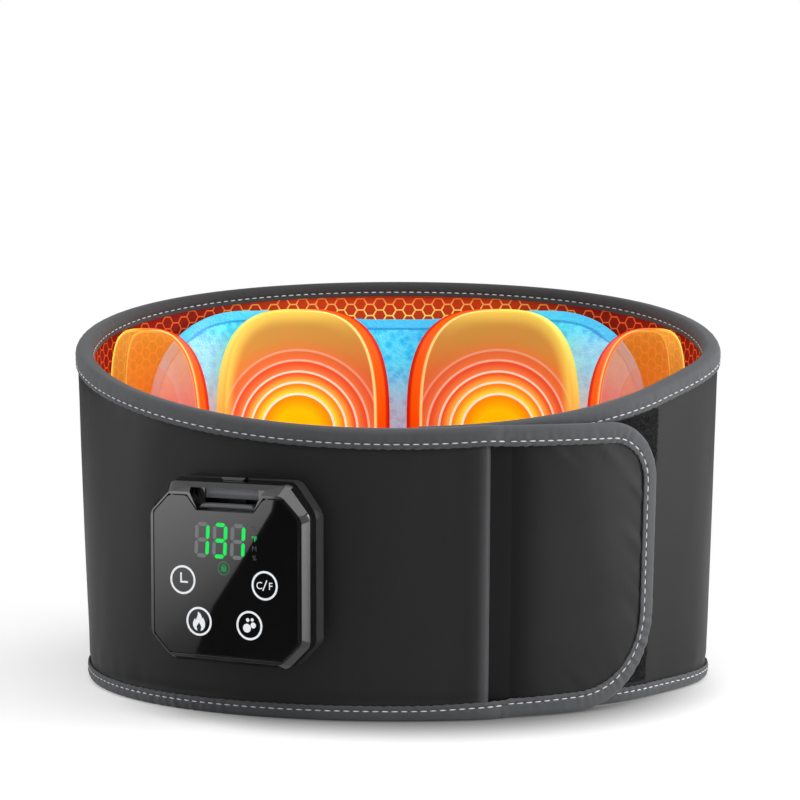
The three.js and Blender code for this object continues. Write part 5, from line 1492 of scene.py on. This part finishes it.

# %% [markdown]

# %% [markdown]
# The studio is a pale floor and plain soft light. The photograph's ground is pure white with a soft grey shadow, so
# only where the camera looks does the floor turn to plain white away from the belt, and close by it stays a lit
# surface that shows the shadow. The light on the belt itself stays at a plain level. The picture's floor also has a
# narrow grey shadow in front of the belt, which the soft light alone leaves too pale, so the floor's own colour is
# darker there, in an oval a little nearer to the camera than the belt. Only the camera sees that.

# %% Floor
WHITE = (1, 1, 1)
OVAL_WIDE, OVAL_DEEP, SHADOW_FORWARD = 0.158, 0.1185, 0.024


def empty_material(name):
    material = bpy.data.materials.new(name)
    material.use_nodes = True
    material.node_tree.nodes.clear()
    return material, Nodes(material.node_tree)


def make_floor():
    material, plan = empty_material("studio_floor")
    place = plan.node("ShaderNodeTexCoord").outputs["Object"]

    def distance(point):
        return plan.node("ShaderNodeVectorMath", {"operation": "LENGTH"}, _0=point).outputs["Value"]

    def in_oval(forward, *reach):
        """From the first value to the second, in shares of an oval under the belt that reaches forward by so much."""
        deep = OVAL_DEEP + forward
        return plan.span(distance(plan.node(
            "ShaderNodeMapping", Vector=place, Scale=(1 / OVAL_WIDE, 1 / deep, 0),
            Location=(-forward / 2 / OVAL_WIDE, (forward - 0.009) / deep, 0))), *reach)

    ground = plan.node("ShaderNodeBsdfDiffuse", Color=(0.8, 0.8, 0.8))
    lifted = plan.node("ShaderNodeAddShader", _0=ground, _1=plan.node("ShaderNodeEmission", Color=WHITE, Strength=0.30))
    far = plan.node("ShaderNodeMixShader", _0=plan.span(distance(place), 0.16, 0.42), _1=lifted,
                    _2=plan.node("ShaderNodeEmission", Color=WHITE, Strength=1.0))
    keep = plan.math("MAXIMUM", in_oval(0.0, 0.96, 0.9, 0, 1), in_oval(SHADOW_FORWARD, 0.6, 1.04, 0.18, 1))
    shaded = plan.node("ShaderNodeMixShader", _0=keep, _2=far)
    camera_ray = plan.node("ShaderNodeLightPath").outputs["Is Camera Ray"]
    seen = plan.node("ShaderNodeMixShader", _0=camera_ray, _1=ground, _2=shaded)
    plan.node("ShaderNodeOutputMaterial", _0=seen)
    return material


floor_ring = [(2.6 * math.cos(t), 2.6 * math.sin(t), 0.0) for t in np.arange(48) / 24 * math.pi]
piece("studio_ground", floor_ring, [tuple(range(48))], make_floor())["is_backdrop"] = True

# %% World
world = bpy.data.worlds.new("studio")
world.use_nodes = True
bpy.context.scene.world = world
sky = Nodes(world.node_tree)
sky.feed(sky.tree.nodes["Background"], {"Color": WHITE, "Strength": 0.42})
ray = sky.node("ShaderNodeLightPath").outputs
direct = sky.node("ShaderNodeMath", {"operation": "ADD", "use_clamp": True}, _0=ray["Is Camera Ray"],
                  _1=ray["Is Transmission Ray"])
bright_for = sky.node("ShaderNodeMath", {"operation": "ADD", "use_clamp": True}, _0=direct, _1=ray["Is Glossy Ray"])
sky.feed(sky.tree.nodes["World Output"], {"_0": sky.node(
    "ShaderNodeMixShader", _0=bright_for, _1=sky.tree.nodes["Background"],
    _2=sky.node("ShaderNodeBackground", Color=WHITE, Strength=1.0))})


# %% Lamps
def soft_box(name, place, target, width, height, power):
    lamp = bpy.data.lights.new(name, "AREA")
    lamp.shape, lamp.size, lamp.size_y, lamp.energy = "RECTANGLE", width, height, power
    obj = show(name, lamp)
    obj.location = place
    obj.rotation_euler = (Vector(target) - Vector(place)).to_track_quat("-Z", "Y").to_euler()


soft_box("top_box", (0.1, -0.35, 1.3), (0, 0, 0.08), 1.4, 1.1, 8.5)
soft_box("left_box", (-0.95, -0.06, 0.32), (-0.05, 0, 0.1), 0.5, 0.8, 3.2)
soft_box("right_box", (0.95, 0.35, 0.32), (0.05, 0, 0.1), 0.6, 0.8, 1.2)
soft_box("right_front_box", (0.95, -0.22, 0.32), (0.05, 0, 0.1), 0.4, 0.8, 8.0)

# %% [markdown]
# The glass panel shows a soft grey sheen over its upper left and is nearly black elsewhere. It is a mirror, so what it
# shows is whatever stands where the mirrored ray goes. Two cards stand there, one pale and one dark, seen by
# reflections only. Their outlines come from mirroring the camera's rays at points of the panel. Smaller cards stand
# in the same way for the pod's side and top bevels, and a dim wall behind the belt.

# %% Reflection cards
def mirrored(corner, normal, reach):
    """Where the camera's ray, mirrored at that point of the pod, gets to after reach metres."""
    point = pod_point(*corner)
    way = (point - np.array(EYE)) / np.linalg.norm(point - np.array(EYE))
    return point + (way - 2 * np.dot(way, normal) * normal) * reach


def reflection_card(name, points, glows):
    obj = piece(name, points, [tuple(range(len(points)))])
    mark(obj, "glow", glows)
    material, plan = empty_material(name)
    glow = plan.node("ShaderNodeAttribute", {"attribute_name": "glow"}).outputs["Fac"]
    plan.node("ShaderNodeOutputMaterial", _0=plan.node("ShaderNodeEmission", Strength=glow))
    obj.data.materials.append(material)
    for rays in ("camera", "diffuse", "transmission", "volume_scatter", "shadow"):
        setattr(obj, "visible_" + rays, False)
    obj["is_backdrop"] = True


def card(name, corners, glows, reach, normal=POD_OUT):
    corners = [corner if len(corner) == 3 else (*corner, PANEL_OUT) for corner in corners]
    reflection_card(name, [mirrored(corner, normal, reach) for corner in corners], glows)


card("pale_card", [(-48, 48), (27.5, 48), (23.8, 31), (8.5, 8), (-6.6, -14), (-19, -44), (-48, -44)],
     [4.2, 3.0, 2.4, 1.5, 0.9, 0.35, 0.7], 0.12)
card("dark_card", [(-70, 70), (80, 70), (80, -70), (-70, -70)], [0.05, 0.05, 0.1, 0.1], 0.145)
reflection_card("back_card", [(-2.2, 0.9, 0.0), (2.2, 0.9, 0.0), (2.2, 0.9, 1.1), (-2.2, 0.9, 1.1)], [0.06] * 4)
side_bevel = (POD_ACROSS * 4 + POD_OUT * 2.1) / math.hypot(4, 2.1)
card("side_card", [(44, 32, 9), (36, 32, 21), (36, -34, 21), (44, -34, 9)], [3.8, 3.6, 3.0, 2.8], 0.2, side_bevel)
top_bevel = (POD_UP * 4 + POD_OUT * 2.25) / math.hypot(4, 2.25)
for name, left, right, glows in (("left", -34, -18, [3.6, 2.4, 1.8, 3.0]), ("right", 20, 36, [2.6, 1.6, 1.2, 2.0]),
                                 ("middle", -17, 19, [0.3] * 4)):
    card(f"top_{name}_card", [(left, 46, 9), (right, 46, 9), (right, 34, 21), (left, 34, 21)], glows, 0.25, top_bevel)

# %% Size of the visual box
low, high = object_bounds()
print("visual box", [round(v, 4) for v in low], [round(v, 4) for v in high])
